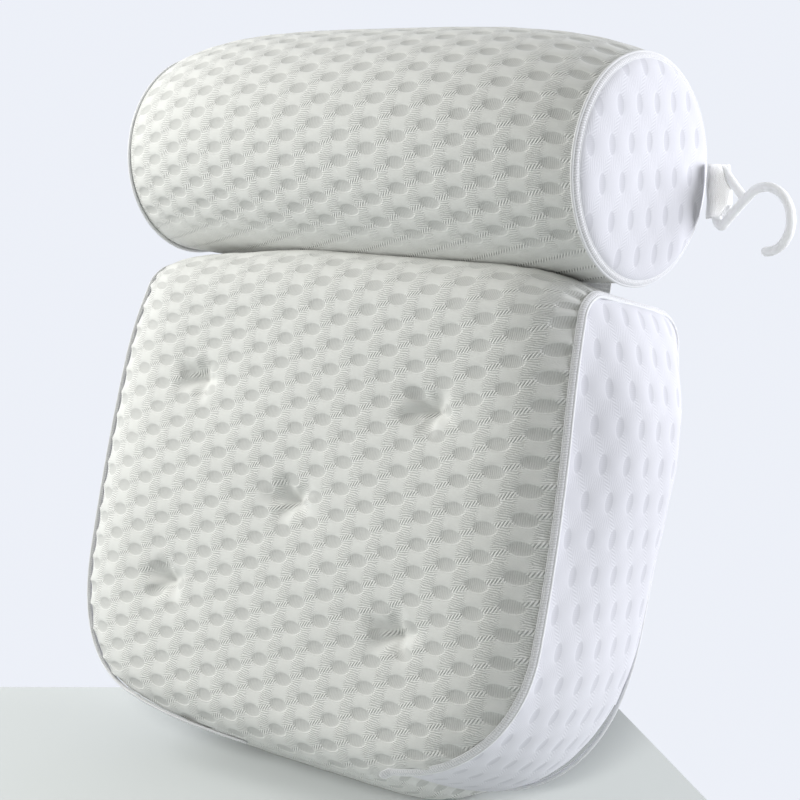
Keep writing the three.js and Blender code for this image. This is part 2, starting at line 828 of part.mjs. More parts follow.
// A domed disc over the roll's right end: rings drawn in towards its middle point.
function domeGrid(edgeAcross, inset) {
  const rim = rollRing(rollHalfLength, inset);
  const middle = place(edgeAcross, rollAxisDepth, rollAxisHeight);
  return endRings.map((share) =>
    rim.map((point) => {
      const drawn = middle.clone().lerp(point, share);
      return drawn.setX(edgeAcross + rollEndDome * (1 - share ** 2));
    }),
  );
}

const endOuterAcross = rollHalfLength - clearance;
const endInnerAcross = endOuterAcross - fabricThickness;
const endOuter = domeGrid(endOuterAcross, seatInset);
const endInner = domeGrid(endInnerAcross, seatInset);
const endFaces = [
  ...gridFaces(endOuter),
  ...flipFaces(gridFaces(endInner)),
  ...flipFaces(gridFaces([endOuter[0], endInner[0]])),
];
const fillingEnd = endInnerAcross - stuffingGap;
const fillingDome = domeGrid(fillingEnd, stuffingInset);
const fillingBarrel = barrelShares.map((share) => {
  const across = share * fillingEnd;
  const ring = rollRing(across, stuffingInset);
  return Math.abs(share) > 1 - 1e-9
    ? fillingDome[0].map((point) => (share < 0 ? mirrored(point) : point))
    : ring;
});
const rollFilling = closedGeometry([
  ...gridFaces(fillingBarrel),
  ...gridFaces(fillingDome),
  ...flipFaces(gridFaces(fillingDome.map((ring) => ring.map(mirrored)))),
]);
const rollPockets = rollCups.map(([, x, z]) => backPlug(x, z, headPocket, 0, headPocketDepth));
addPiece(pillow, 'roll_filling', cutAway(rollFilling, rollPockets), fillingMaterial);

const endRingAcross = rollHalfLength + rollBindingRadius + clearance;
for (const [side, sign] of [['left', -1], ['right', 1]]) {
  const faces = sign < 0 ? flipFaces(endFaces.map(mirrored)) : endFaces;
  addPiece(pillow, `roll_end_${side}`, closedGeometry(faces), sideClothMaterial);
  const ringRadius = rollEndRadius - fabricThickness / 2;
  const ring = new THREE.TorusGeometry(ringRadius, rollBindingRadius, bindingSides, rollSides);
  ring.rotateY(Math.PI / 2);
  ring.deleteAttribute('normal');
  ring.deleteAttribute('uv');
  const binding = addPiece(pillow, `roll_binding_${side}`, mergeVertices(ring, 1e-3), bindingMaterial);
  binding.position.copy(place(sign * endRingAcross, rollAxisDepth, rollAxisHeight));
}

// Joining tape across the back, the cloth hinge between the pad and the roll
const tapeRise = tapeUpperHeight - clearance - tapeLowerHeight;
const tapeShape = new THREE.Shape([
  new THREE.Vector2(-tapeHalfLength, 0),
  new THREE.Vector2(tapeHalfLength, 0),
  new THREE.Vector2(tapeHalfLength, tapeRise),
  new THREE.Vector2(-tapeHalfLength, tapeRise),
]);
const tape = new THREE.ExtrudeGeometry(tapeShape, { depth: tapeThickness, bevelEnabled: false });
tape.rotateX(Math.PI / 2);
tape.translate(0, clearance + tapeThickness, tapeLowerHeight);
addPiece(pillow, 'joining_tape', tape, bindingMaterial);

// Suction cups with their eyelets; the profile runs from the head inside the cover to the rim
const cupFoot = clearance + eyeletThickness + clearance;
const bellPoint = ({ out, back }) => [
  mix(cupShoulderRadius, cupRimRadius, out),
  mix(cupFoot, cupReach, back),
];
const cupProfile = [
  [0, -seatInset - cupHeadLength],
  [cupHeadRadius, -seatInset - cupHeadLength],
  [cupHeadRadius, -seatInset],
  [cupNeckRadius, -seatInset],
  [cupNeckRadius, cupFoot],
  [cupShoulderRadius, cupFoot],
  [cupShoulderRadius + cupShoulderRound, cupFoot + cupShoulderRound],
  bellPoint(bellOuterMiddle),
  [cupRimRadius - cupRimRound, cupReach - 2 * cupRimEdge],
  [cupRimRadius, cupReach - cupRimEdge],
  [cupRimRadius, cupReach],
  [cupRimRadius - cupLip, cupReach],
  bellPoint(bellInnerMiddle),
  [cupShoulderRadius / 2, mix(cupFoot, cupReach, bellHollow + bellHollowCrown)],
  [0, mix(cupFoot, cupReach, bellHollow)],
];
const eyeletProfile = [
  [neckHole, clearance],
  [eyeletRadius, clearance],
  [eyeletRadius - eyeletThickness / 2, clearance + eyeletThickness],
  [neckHole, clearance + eyeletThickness],
  [neckHole, clearance],
];
for (const [name, across, height] of [...padCups, ...rollCups]) {
  const bell = new THREE.LatheGeometry(cupProfile.map(([r, back]) => new THREE.Vector2(r, back)), cupSides);
  addPiece(pillow, `suction_cup_${name}`, bell, cupMaterial).position.set(across, 0, height);
  const ring = new THREE.LatheGeometry(
    eyeletProfile.map(([r, back]) => new THREE.Vector2(r, back)),
    cupSides,
  );
  addPiece(pillow, `cup_eyelet_${name}`, ring, hookMaterial).position.set(across, 0, height);
}

// Webbing tab at the roll's right end, upright, folded round the hook's bar
const tabGroup = new THREE.Group();
const tabRing = rollEndRadius - fabricThickness / 2;
const tabDepth = rollAxisDepth - tabRing * Math.cos(lean) - tabDrop * Math.sin(lean) + tabForward;
const tabHeight = rollAxisHeight + tabRing * Math.sin(lean) - tabDrop * Math.cos(lean);
const tabBendAcross = endRingAcross + rollBindingRadius + clearance + webbingThickness;
tabGroup.position.copy(place(tabBendAcross, tabDepth, tabHeight));
tabGroup.rotation.set(lean, 0, THREE.MathUtils.degToRad(-tabTurn), 'XYZ');
pillow.add(tabGroup);

const loopInner = wireRadius + clearance;
const loopOuter = loopInner + webbingThickness;
const foldOuter = foldRadius + webbingThickness;
const foldAcross = tabLength + foldReach;
const tabOutline = new THREE.Shape();
tabOutline.moveTo(0, -webbingThickness);
tabOutline.lineTo(tabLength, -loopOuter);
tabOutline.absarc(foldAcross, 0, foldOuter, -Math.PI / 2, Math.PI / 2, false);
tabOutline.lineTo(tabLength, loopOuter);
tabOutline.absarc(0, 0, webbingThickness, Math.PI / 2, 1.5 * Math.PI, false);
const barHole = new THREE.Path();
barHole.absarc(tabLength, 0, loopInner, 1.5 * Math.PI, Math.PI / 2, true);
barHole.absarc(foldAcross, 0, foldRadius, Math.PI / 2, -Math.PI / 2, true);
tabOutline.holes.push(barHole);
const tab = new THREE.ExtrudeGeometry(tabOutline, {
  depth: tabWidth,
  curveSegments: loopSteps,
  bevelEnabled: false,
});
tab.translate(0, 0, -tabWidth / 2);
const tabCorners = tab.attributes.position;
for (let k = 0; k < tabCorners.count; k += 1) {
  const x = tabCorners.getX(k);
  const root = THREE.MathUtils.clamp(1 - x / tabLength, 0, 1);
  const beyond = THREE.MathUtils.clamp((x - tabLength) / (foldReach + foldOuter), 0, 1);
  tabCorners.setZ(k, tabCorners.getZ(k) * mix(1, tabFlare, root) * mix(1, foldTaper, beyond));
}
addPiece(tabGroup, 'webbing_tab', tab, webbingMaterial);

// Hook: a bent wire form with a three-cornered eye round the webbing and an open round
const hookGroup = new THREE.Group();
hookGroup.position.set(tabLength, 0, -hookSag);
tabGroup.add(hookGroup);

const flatPoint = (across, up) => new THREE.Vector3(across, 0, up);
const wirePath = [
  flatPoint(eyeCornerAcross + eyeRound, eyeCornerHeight - eyeRound),
  flatPoint(eyeCornerAcross - eyeRound, eyeCornerHeight + eyeRound / 2),
  flatPoint(eyeRound / 2, eyeCornerHeight - eyeRound / 2),
  flatPoint(0, barHalfLength),
  flatPoint(0, -barHalfLength),
  flatPoint(eyeRound / 2, -eyeCornerHeight + eyeRound / 2),
  flatPoint(eyeCornerAcross - eyeRound, -eyeCornerHeight - eyeRound / 2),
  flatPoint(eyeCornerAcross + eyeRound, -eyeCornerHeight + eyeRound),
  flatPoint(eyeDepth, -eyeRound),
];
for (let step = 0; step <= hookSteps; step += 1) {
  const turn = THREE.MathUtils.degToRad(hookStart - (hookSweep * step) / hookSteps);
  wirePath.push(
    flatPoint(
      hookCentreAcross + hookRadius * Math.cos(turn),
      hookRadius * Math.sin(turn) - hookCentreDrop,
    ),
  );
}
const upperArm = [
  flatPoint(eyeCornerAcross, eyeCornerHeight),
  flatPoint(eyeDepth, 0),
];
const wire = toManifold(sweptRod(wirePath, wireRadius, wireSides));
const arm = toManifold(sweptRod(upperArm, armRadius, wireSides));
addPiece(hookGroup, 'hook', fromManifold(wire.add(arm)), hookMaterial);

// The pillow stands on its lower edge, with the origin under the middle of that rest
const stand = new THREE.Group();
stand.position.set(0, restDepth * Math.cos(lean) - floorHeight(restDepth) * Math.sin(lean), -floorLevel);
stand.add(pillow);

const bathPillow = new THREE.Group();
bathPillow.add(stand);

export default bathPillow;
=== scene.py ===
import bmesh
import bpy
import numpy as np
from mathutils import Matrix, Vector


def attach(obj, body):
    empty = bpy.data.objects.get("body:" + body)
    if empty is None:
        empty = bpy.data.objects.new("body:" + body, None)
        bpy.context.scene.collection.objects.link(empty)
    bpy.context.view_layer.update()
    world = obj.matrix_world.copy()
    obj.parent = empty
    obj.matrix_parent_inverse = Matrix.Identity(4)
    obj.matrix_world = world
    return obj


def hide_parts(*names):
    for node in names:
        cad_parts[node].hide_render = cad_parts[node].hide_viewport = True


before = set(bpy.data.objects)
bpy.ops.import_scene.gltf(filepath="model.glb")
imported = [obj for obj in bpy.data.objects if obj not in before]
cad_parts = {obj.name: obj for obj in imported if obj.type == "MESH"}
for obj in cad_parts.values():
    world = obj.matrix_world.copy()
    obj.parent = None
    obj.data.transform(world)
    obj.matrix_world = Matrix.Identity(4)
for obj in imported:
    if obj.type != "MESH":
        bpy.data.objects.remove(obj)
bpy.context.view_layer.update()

# the pillow's own frame: across to the right, depth forward of the flat back, height up along it
stance = dict(lean=14.0, shiftBack=20.448, shiftUp=15.8745)


# turns across, depth and height (mm) into the row frame (m): lean back about X, then shift
def place(across, depth, height):
    lean = np.radians(stance["lean"])
    across, depth, height = np.broadcast_arrays(across, depth, height)
    back = -np.cos(lean) * depth + np.sin(lean) * height + stance["shiftBack"]
    up = np.sin(lean) * depth + np.cos(lean) * height + stance["shiftUp"]
    return np.stack([across, back, up], -1) * 0.001


# height along the back of the floor at a depth
def floorHeight(depth):
    lean = np.radians(stance["lean"])
    return -(stance["shiftUp"] + depth * np.sin(lean)) / np.cos(lean)


def mix(a, b, share):
    return a + (b - a) * share


def smooth(low, high, value):
    t = np.clip((value - low) / (high - low), 0, 1)
    return t * t * (3 - 2 * t)


# values from first to last in so many equal steps
def evenly(first, last, steps):
    return np.linspace(first, last, steps + 1)


def unit(vectors):
    return vectors / np.linalg.norm(vectors, axis=-1, keepdims=True)


# how far along a line each of its points is
def runAlong(points):
    return np.concatenate([[0], np.cumsum(np.linalg.norm(np.diff(points, axis=0), axis=1))])


# unit normals of a grid: cross product of its two central differences
def gridNormals(points):
    n = np.cross(np.gradient(points, axis=0), np.gradient(points, axis=1))
    return n / np.maximum(np.linalg.norm(n, axis=-1, keepdims=True), 1e-12)


# a new object, put in the scene
def addObject(name, data):
    piece = bpy.data.objects.new(name, data)
    bpy.context.scene.collection.objects.link(piece)
    return piece


# points (m) in rows, with cloth coordinates (mm), a finish and how open the dimples are
def grid(points, clothX, clothY, finish=0, opened=1.0):
    cloth = np.stack(np.broadcast_arrays(clothX, clothY), -1)
    return dict(points=points, cloth=cloth, finish=finish, open=opened)


# one mesh from several grids, welded where they meet
def meshFromGrids(name, grids, weld=0.00002):
    points, faces, uvs, finish, opened = [], [], [], [], []
    start = 0
    for g in grids:
        rows, cols = g["points"].shape[:2]
        index = np.arange(rows * cols).reshape(rows, cols)
        corners = [index[:-1, :-1], index[:-1, 1:], index[1:, 1:], index[1:, :-1]]
        quads = np.stack(corners, -1).reshape(-1, 4)
        uvs.append(g["cloth"].reshape(-1, 2)[quads].reshape(-1, 2) * 0.001)
        faces.append(quads + start)
        points.append(g["points"].reshape(-1, 3))
        finish.append(np.full(len(quads), g["finish"]))
        opened.append(np.broadcast_to(g["open"], (rows, cols)).ravel())
        start += rows * cols
    points, faces = np.concatenate(points), np.concatenate(faces)
    mesh = bpy.data.meshes.new(name)
    mesh.from_pydata(points.tolist(), [], faces.tolist())
    layer = mesh.uv_layers.new(name="cloth")
    layer.data.foreach_set("uv", np.concatenate(uvs).astype(np.float32).ravel())
    mesh.polygons.foreach_set("material_index", np.concatenate(finish).astype(np.int32))
    mesh.polygons.foreach_set("use_smooth", np.ones(len(faces), bool))
    openness = mesh.attributes.new("open", "FLOAT", "POINT")
    openness.data.foreach_set("value", np.concatenate(opened).astype(np.float32))
    piece = addObject(name, mesh)
    work = bmesh.new()
    work.from_mesh(mesh)
    bmesh.ops.remove_doubles(work, verts=work.verts, dist=weld)
    bmesh.ops.dissolve_degenerate(work, dist=weld * 0.5, edges=work.edges)
    bmesh.ops.recalc_face_normals(work, faces=work.faces)
    work.to_mesh(mesh)
    work.free()
    mesh.update()
    print(name, len(mesh.polygons), "faces")
    return piece


knit = dict(
    columnPitch=40.0, rowPitch=14.5,  # the dimples repeat so far along and across the cloth
    frontOval=(6.8, 3.7), sideOval=(5.8, 2.5),  # half length and half width of a dimple
    frontDepth=0.95, sideDepth=0.24, puff=0.4, wall=2.8,
)


# dimple lattice: 1 in the middle of each oval, 0 outside; every other column is half a row off
def dimpleValue(along, across, oval):
    out = 0.0
    for half in (0.0, 0.5):
        x = along / knit["columnPitch"] + half
        y = across / knit["rowPitch"] + half
        dx = (x - np.round(x)) * knit["columnPitch"] / oval[0]
        dy = (y - np.round(y)) * knit["rowPitch"] / oval[1]
        out = np.maximum(out, np.exp(-((dx * dx + dy * dy) ** knit["wall"])))
    return out


# soft swell of the cloth between the dimples: high in the gaps, low along their rows
def puffValue(along, across):
    x = 2 * np.pi * along / knit["columnPitch"]
    y = 2 * np.pi * across / knit["rowPitch"]
    return 0.5 - 0.5 * np.cos(x) * np.cos(y)


# slow waver of the cloth, so that the lattice isn't machine straight: sums of long sines
def waver(along, across, seed):
    a = np.sin(along / 37.0 + seed) + 0.7 * np.sin(across / 29.0 + 2.1 * seed)
    b = np.sin(along / 61.0 - 1.3 * seed + across / 83.0)
    return 0.9 * (a + b)


# moves a surface along its normals: up by the puff, down by the dimples
def rippled(points, normals, along, across, fade, kind="front"):
    dimples = knit[kind + "Depth"] * dimpleValue(along, across, knit[kind + "Oval"])
    rise = knit["puff"] * puffValue(along, across) - dimples
    return points + normals * (0.001 * rise * fade)[..., None]


# back pad

padForm = dict(
    height=270.0, topHalf=165.0, wideHalf=175.5, wideHeight=115.0,
    cornerAcross=81.0, frontCornerHeight=88.0, frontDrop=86.0, rearCornerHeight=100.0, rearDrop=110.0,
    endAcross=98.0, depth=91.0, depthTop=84.0, depthTip=103.0, narrowing=200.0,
    topRadius=14.0, frontCrown=19.0, topCrown=5.0, crestRadius=34.0, crestHeight=250.0,
    toeRadius=26.0, toeHeight=18.0, toeTurn=0.42 * np.pi,
    sideSwell=9.0, bottomSwell=13.0, endSwell=5.0, cornerShape=0.87, frontPower=9.0, topPower=4.5,
    tuftAcross=91.0, tuftMiddle=135.0, tuftSpacing=61.0, tuftDepth=11.0, tuftReach=22.0, tuftSquash=0.68,
    tuftDish=2.5, tuftWide=40.0, tuftPower=1.6, pleats=5, pleatShare=0.17,
    gatherHeight=1.2, gatherWidth=15.0,
    sideFull=8.0, fullHeight=205.0, fullReach=69.0, rearWiden=4.5, swellPower=3.2, swellLag=1.6,
    leftSettle=6.0, settleAcross=(20, 120), settleHeight=(200, 266), rightTopPower=7.0,
    pinched=0.1,  # how open the dimples stay in the tufts and under the roll
    sideSqueeze=1.1, sideShift=(7.0, 3.0),  # of the dimples on the side strips
    arcRows=16, sideRows=136, cornerRows=108, depthCols=66, acrossCols=280,
)
rollForm = dict(
    halfLength=172.0, endRadius=60.0, swell=10.0, lift=6.0, push=5.0, flatness=3.5, rounding=0.8,
    axisDepth=60.3, axisHeight=340.0, dome=4.2, domePower=3.0, rise=2.6, risePower=28.0, nestGap=0.5,
    pressedShare=0.12, pressedFrom=(0.74, 0.93),  # dimples close underneath, where the roll rests
    endTurn=15.0, endStretch=1.1, endUp=5.0, endForward=4.0, endCrowding=0.25,
    alongCols=280, turnRows=330, endRings=48,
)


def sideHalf(height):
    f = padForm
    rise = (height - f["wideHeight"]) / (f["height"] - f["wideHeight"])
    return f["wideHalf"] - (f["wideHalf"] - f["topHalf"]) * rise ** 2


def stripDepth(height):
    f = padForm
    rise = np.maximum(0, (height - f["narrowing"]) / (f["height"] - f["narrowing"]))
    return f["depth"] - (f["depth"] - f["depthTop"]) * rise ** 2


# bulge of a strip from its rear seam to its front seam: steep behind and gentle in front, a sine
# where it is slack
def swellShape(share, slack):
    share = np.clip(share, 0, 1)
    lag = (1 - share) ** padForm["swellLag"]
    steep = 1 - np.abs(1 - 2 * lag) ** padForm["swellPower"]
    return mix(steep, np.sin(np.pi * share ** (1 - 0.4 * slack)), slack)


# the rows of a side strip: round over its top corner, straight down, then round the bottom corner
def stripRows():
    f = padForm
    reach = sideHalf(f["frontCornerHeight"]) - f["cornerAcross"]
    end = np.arccos((f["endAcross"] - f["cornerAcross"]) / reach)
    arc = evenly(0, np.pi / 2, f["arcRows"])
    down = evenly(0, 1, f["sideRows"])[1:]
    turn = evenly(0, end, f["cornerRows"])[1:]
    part = np.concatenate([np.zeros(len(arc)), np.ones(len(down)), np.full(len(turn), 2)])
    return part, np.concatenate([arc, down, turn])


# right side strip: straight across from the front seam (share 0) to the rear seam (share 1), bulged
# outwards, most at its upper half; round the corner it follows an ellipse
def stripSurface(part, value, share):
    f = padForm
    part, value, share = np.broadcast_arrays(part, value, share)
    shoulder = f["height"] - f["topRadius"]
    cornerHeight = mix(f["frontCornerHeight"], f["rearCornerHeight"], share)
    isArc, isSide, upper = part == 0, part == 1, part < 2
    angle = np.where(isSide, 0, value)
    draw = np.where(isArc, f["topRadius"] * (1 - np.sin(angle)), 0)
    upArc = shoulder + f["topRadius"] * np.cos(angle)
    upSide = mix(shoulder, cornerHeight, value)
    drop = mix(f["frontDrop"], f["rearDrop"], share)
    shape = mix(f["cornerShape"], 1, share)
    upCorner = cornerHeight - drop * np.sin(angle) ** shape
    up = np.where(isArc, upArc, np.where(isSide, upSide, upCorner))
    slack = np.where(upper, 0, np.sin(angle) ** 2)
    frontDepth = np.where(upper, stripDepth(up), mix(f["depth"], f["depthTip"], slack)) - draw
    reach = sideHalf(cornerHeight) - f["cornerAcross"]
    across = np.where(upper, sideHalf(up), f["cornerAcross"] + reach * np.cos(angle) ** shape)
    rising = mix(0.5, 1, np.clip((shoulder - up) / f["topRadius"] / 3, 0, 1))
    swell = np.where(isArc, 0.5 * np.sin(angle), np.where(isSide, rising, 1)) * f["sideSwell"]
    swell = mix(swell, f["endSwell"], slack)
    full = np.exp(-((up - f["fullHeight"]) / f["fullReach"]) ** 2) * np.where(isArc, np.sin(angle), 1)
    bulge = (swell + f["sideFull"] * full) * swellShape(1 - share, slack)
    across = across + f["rearWiden"] * full * share
    outAcross = np.where(upper, 1, np.cos(angle))
    outUp = np.where(upper, 0, -np.sin(angle))
    depth = mix(frontDepth, draw, share)
    return across + bulge * outAcross, depth, np.maximum(up + bulge * outUp, floorHeight(depth))


# places the pad's points; its upper left corner has settled a little
def placePad(across, depth, height):
    f = padForm
    settled = smooth(*f["settleAcross"], -across) * smooth(*f["settleHeight"], height)
    return place(across, depth, height - f["leftSettle"] * settled)


# how full the roll is at a place along it: a flat-topped bell
def rollFullness(across):
    share = np.minimum(1, np.abs(across) / rollForm["halfLength"])
    return (1 - share ** rollForm["flatness"]) ** rollForm["rounding"]


# the roll's axis and radius at a place along it: the swell rides up and forward
def rollSection(across):
    r, full = rollForm, rollFullness(across)
    axisDepth = r["axisDepth"] + r["push"] * full
    axisHeight = r["axisHeight"] + r["lift"] * full
    return axisDepth, axisHeight, r["endRadius"] + r["swell"] * full


# keeps the pad's top out from under the roll that rests in it
def underRoll(across, depth, height):
    axisDepth, axisHeight, radius = rollSection(across)
    reach = radius + rollForm["nestGap"]
    ahead = np.clip((depth - axisDepth) / reach, -1, 1)
    top = axisHeight - reach * np.sqrt(1 - ahead ** 2)
    return np.where(np.abs(ahead) < 1, np.minimum(height, top), height)


# pull of the sewn tufts: each a wide cone, flattened and wavy round its rim where the cloth pleats,
# in a shallow round dish
def tuftPull(across, height):
    f = padForm
    out = 0.0
    for k, (x, z) in enumerate(((-1, 1), (1, 1), (0, 0), (-1, -1), (1, -1))):
        dx = across - x * f["tuftAcross"]
        dz = (height - f["tuftMiddle"] - z * f["tuftSpacing"]) / f["tuftSquash"]
        away = np.hypot(dx, dz)
        wave = f["pleatShare"] * np.cos(f["pleats"] * np.arctan2(dz, dx) + 1.3 * k) * smooth(2, 10, away)
        cone = f["tuftDepth"] * np.clip(1 - away / (f["tuftReach"] * (1 + wave)), 0, 1) ** f["tuftPower"]
        out = np.maximum(out, cone + f["tuftDish"] * np.exp(-(away / f["tuftWide"]) ** 2))
    return out


# the front cover's lines: where each row ends on the right seam, and its point in the middle;
# it starts on the back, comes over the top, down the front and under
def frontLines():
    f = padForm
    part, value = stripRows()
    arcs, last = f["arcRows"], len(part) - 1
    shares = evenly(0, 1, f["depthCols"])
    rear = np.stack(stripSurface(part[arcs::-1], value[arcs::-1], 1.0), -1)
    top = np.stack(stripSurface(part[0], value[0], shares[::-1][1:]), -1)
    front = np.stack(stripSurface(part[1:], value[1:], 0.0), -1)
    under = np.stack(stripSurface(part[last], value[last], shares[1:]), -1)
    edge = np.concatenate([rear, top, front, under])
    foremost = f["depth"] + f["frontCrown"]
    crestDepth, toeDepth = foremost - f["crestRadius"], foremost - f["toeRadius"]
    rearMid = np.stack([rear[:, 1], rear[:, 2] + f["topCrown"] * np.cos(value[arcs::-1])], -1)
    go = shares[1:]
    crestTop = f["crestHeight"] + f["crestRadius"]
    topMid = np.stack([mix(rearMid[-1, 0], crestDepth, go),
                       mix(f["height"] + f["topCrown"], crestTop, go)], -1)
    p, v = part[1:], value[1:]
    seam = front[:, 2]
    lowest = f["frontCornerHeight"] - f["frontDrop"]
    turn = f["toeTurn"] * np.maximum(0, f["toeHeight"] - seam) / (f["toeHeight"] - lowest)
    toeForward = toeDepth + f["toeRadius"] * np.cos(turn)
    toeUp = np.maximum(seam, f["toeHeight"]) - f["toeRadius"] * np.sin(turn)
    midDepth = np.where(p == 0, crestDepth + f["crestRadius"] * np.sin(v),
                        np.where(p == 1, foremost, toeForward))
    midUp = np.where(p == 0, f["crestHeight"] + f["crestRadius"] * np.cos(v),
                     np.where(p == 1, mix(f["crestHeight"], f["frontCornerHeight"], v), toeUp))
    frontMid = np.stack([midDepth, midUp], -1)
    rearLow = f["rearCornerHeight"] - f["rearDrop"]
    sag = f["bottomSwell"] * swellShape(1 - go, 1)
    underMid = np.stack([mix(toeDepth, 0, go),
                         mix(f["toeHeight"] - f["toeRadius"], rearLow, go) - sag], -1)
    middle = np.concatenate([rearMid, topMid, frontMid, underMid])
    isFront = np.concatenate([np.zeros(len(rear) + len(top)), np.ones(len(front)), np.zeros(len(under))])
    return edge, middle, isFront


# front cover: each row runs from seam to seam; its depth and height rise from the ends to the middle
# by 1 - |u|^power, the depth later than the height
def frontSurface(edge, middle, isFront, shares):
    f = padForm
    u = np.abs(shares[None, :])
    power = np.where(isFront[:, None] > 0, f["frontPower"], f["topPower"])
    across = shares[None, :] * edge[:, :1]
    depth = mix(edge[:, 1:2], middle[:, :1], 1 - u ** power)
    upPower = np.where(shares > 0, f["rightTopPower"], f["topPower"])
    height = mix(edge[:, 2:3], middle[:, 1:2], 1 - u ** upPower)
    depth = depth - tuftPull(across, height) * isFront[:, None]
    height = np.maximum(height, floorHeight(depth))
    return across, depth, underRoll(across, depth, height)


# how far each line of a grid is from the nearer end, in lines
def fromEnds(count):
    return np.minimum(np.arange(count), np.arange(count)[::-1])


# 0 on the seams round a grid, 1 a few lines inside them
def seamFade(rows, cols, width=3.0):
    return smooth(0, width, fromEnds(rows))[:, None] * smooth(0, width, fromEnds(cols))[None, :]


# gathers: along the seams the cloth stands up in a sharp little ridge under each row of dimples
def gathers(toSeam, down):
    f = padForm
    ridge = (1 - np.abs(np.sin(np.pi * (down / knit["rowPitch"] + 0.25)))) ** 1.6
    reach = smooth(f["gatherWidth"], 0.4 * f["gatherWidth"], toSeam) * smooth(0, 2.5, toSeam)
    return f["gatherHeight"] * ridge * reach


# the front cover, rippled by its knit except where a tuft or the roll presses it, and gathered
# along the seams
def frontGrid(shares):
    edge, middle, isFront = frontLines()
    across, depth, height = frontSurface(edge, middle, isFront, shares)
    base = placePad(across, depth, height)
    down = runAlong(middle)[:, None]
    clothX = across + waver(across, down, 0.4)
    clothY = down + 0.6 * waver(down, across, 1.7)
    normals = gridNormals(base)
    axisDepth, axisHeight, radius = rollSection(across)
    gap = np.hypot(depth - axisDepth, height - axisHeight) - radius
    tufted = smooth(4, 8, tuftPull(across, height)) * isFront[:, None]
    pinched = padForm["pinched"]
    opened = mix(pinched, 1, smooth(1, 10, gap)) * mix(1, pinched, tufted)
    points = rippled(base, normals, clothX, clothY, seamFade(*across.shape) * opened)
    ridges = gathers((1 - np.abs(shares))[None] * edge[:, :1], clothY) * isFront[:, None]
    points = points + normals * (0.001 * ridges)[..., None]
    return grid(points, clothX, clothY, 0, opened), height


# both side strips: one surface and its mirror image, rippled by the finer side knit
def stripGrids():
    f = padForm
    part, value = stripRows()
    shares = evenly(0, 1, f["depthCols"])
    across, depth, height = stripSurface(part[:, None], value[:, None], shares[None, :])
    run = runAlong(place(across, depth, height)[:, f["depthCols"] // 2]) * 1000
    shiftAlong, shiftWide = f["sideShift"]
    grids = []
    for side in (1, -1):
        base = placePad(side * across, depth, height)
        along = run[:, None] + shiftAlong * side
        wide = (depth + shiftWide) * f["sideSqueeze"]
        clothX = along + waver(along, wide, 2.2 + side)
        clothY = wide + 0.5 * waver(wide, along, 0.9)
        points = rippled(base, gridNormals(base) * side, clothX, clothY, seamFade(*across.shape), "side")
        grids.append(grid(points, clothX, clothY, 1))
    return grids


# flat back from rear seam to rear seam; its first and last rows are the front cover's own
def backGrid(shares, frontPoints, frontHeight):
    part, value = stripRows()
    rows = np.arange(padForm["arcRows"], len(part))
    edge, _, edgeHeight = stripSurface(part[rows], value[rows], 1.0)
    across = shares[None, :] * edge[:, None]
    height = np.broadcast_to(edgeHeight[:, None], across.shape).copy()
    height[0], height[-1] = frontHeight[0], frontHeight[-1]
    base = placePad(across, 0, height)
    base[0], base[-1] = frontPoints[0], frontPoints[-1]
    points = rippled(base, -gridNormals(base), across, height, seamFade(*across.shape))
    return grid(points, across, height)


def makePad():
    shares = evenly(-1, 1, padForm["acrossCols"])
    front, height = frontGrid(shares)
    back = backGrid(shares, front["points"], height)
    return meshFromGrids("pad_cushion", [front, *stripGrids(), back])


pad = makePad()


# neck roll: a barrel whose radius and middle follow the fullness, its back pressed flat
def barrelGrid(turn):
    r = rollForm
    along = evenly(-1, 1, r["alongCols"])
    across = mix(along, np.sin(along * np.pi / 2), r["endCrowding"]) * r["halfLength"]
    axisDepth, axisHeight, radius = rollSection(across)
    depth = np.maximum(axisDepth[None] + radius[None] * np.cos(turn[:, None]), 0)
    height = axisHeight[None] + radius[None] * np.sin(turn[:, None])
    base = place(across[None], depth, height)
    base[-1] = base[0]
    girth = -turn[:, None] * (r["endRadius"] + r["swell"])
    clothX = across[None] + waver(across[None], girth, 3.1)
    clothY = girth + 0.6 * waver(girth, across[None], 0.2)
    pressed = mix(1, r["pressedShare"], smooth(*r["pressedFrom"], -np.sin(turn)))
    fade = smooth(0, 3, fromEnds(len(turn))) * pressed
    fade = smooth(0, 4, fromEnds(len(across)))[None] * fade[:, None]
    points = rippled(base, -gridNormals(base), clothX, clothY, fade)
    return grid(points, clothX, clothY, 0, pressed[:, None])


# a round end: rings drawn in from the barrel's edge, domed by 1 - share^power twice, once for the
# dome and once for the quick rise beside the seam; its rows of dimples lie level
def endGrid(edge, side, turn):
    r = rollForm
    share = evenly(1, 0, r["endRings"])
    middle = place(side * r["halfLength"], r["axisDepth"], r["axisHeight"])
    disc = middle + (edge[:, None] - middle) * share[None, :, None]
    domed = r["dome"] * (1 - share ** r["domePower"]) + r["rise"] * (1 - share ** r["risePower"])
    disc[..., 0] += side * 0.001 * domed[None]
    tilted = turn[:, None] + np.radians(r["endTurn"])
    up = r["endRadius"] * share[None] * np.sin(tilted) + r["endUp"]
    forward = (r["endRadius"] * share[None] * np.cos(tilted) + r["endForward"]) / r["endStretch"]
    fade = smooth(0, 4, np.arange(len(share)))
    points = rippled(disc, np.array([side, 0, 0]), up, forward, fade, "side")
    points[-1] = points[0]
    return grid(points, up, forward, 1)


def makeRoll():
    turn = evenly(-np.pi, np.pi, rollForm["turnRows"])
    barrel = barrelGrid(turn)
    right = endGrid(barrel["points"][:, -1], 1, turn)
    left = endGrid(barrel["points"][:, 0], -1, turn)
    return meshFromGrids("neck_roll", [barrel, right, left])


roll = makeRoll()


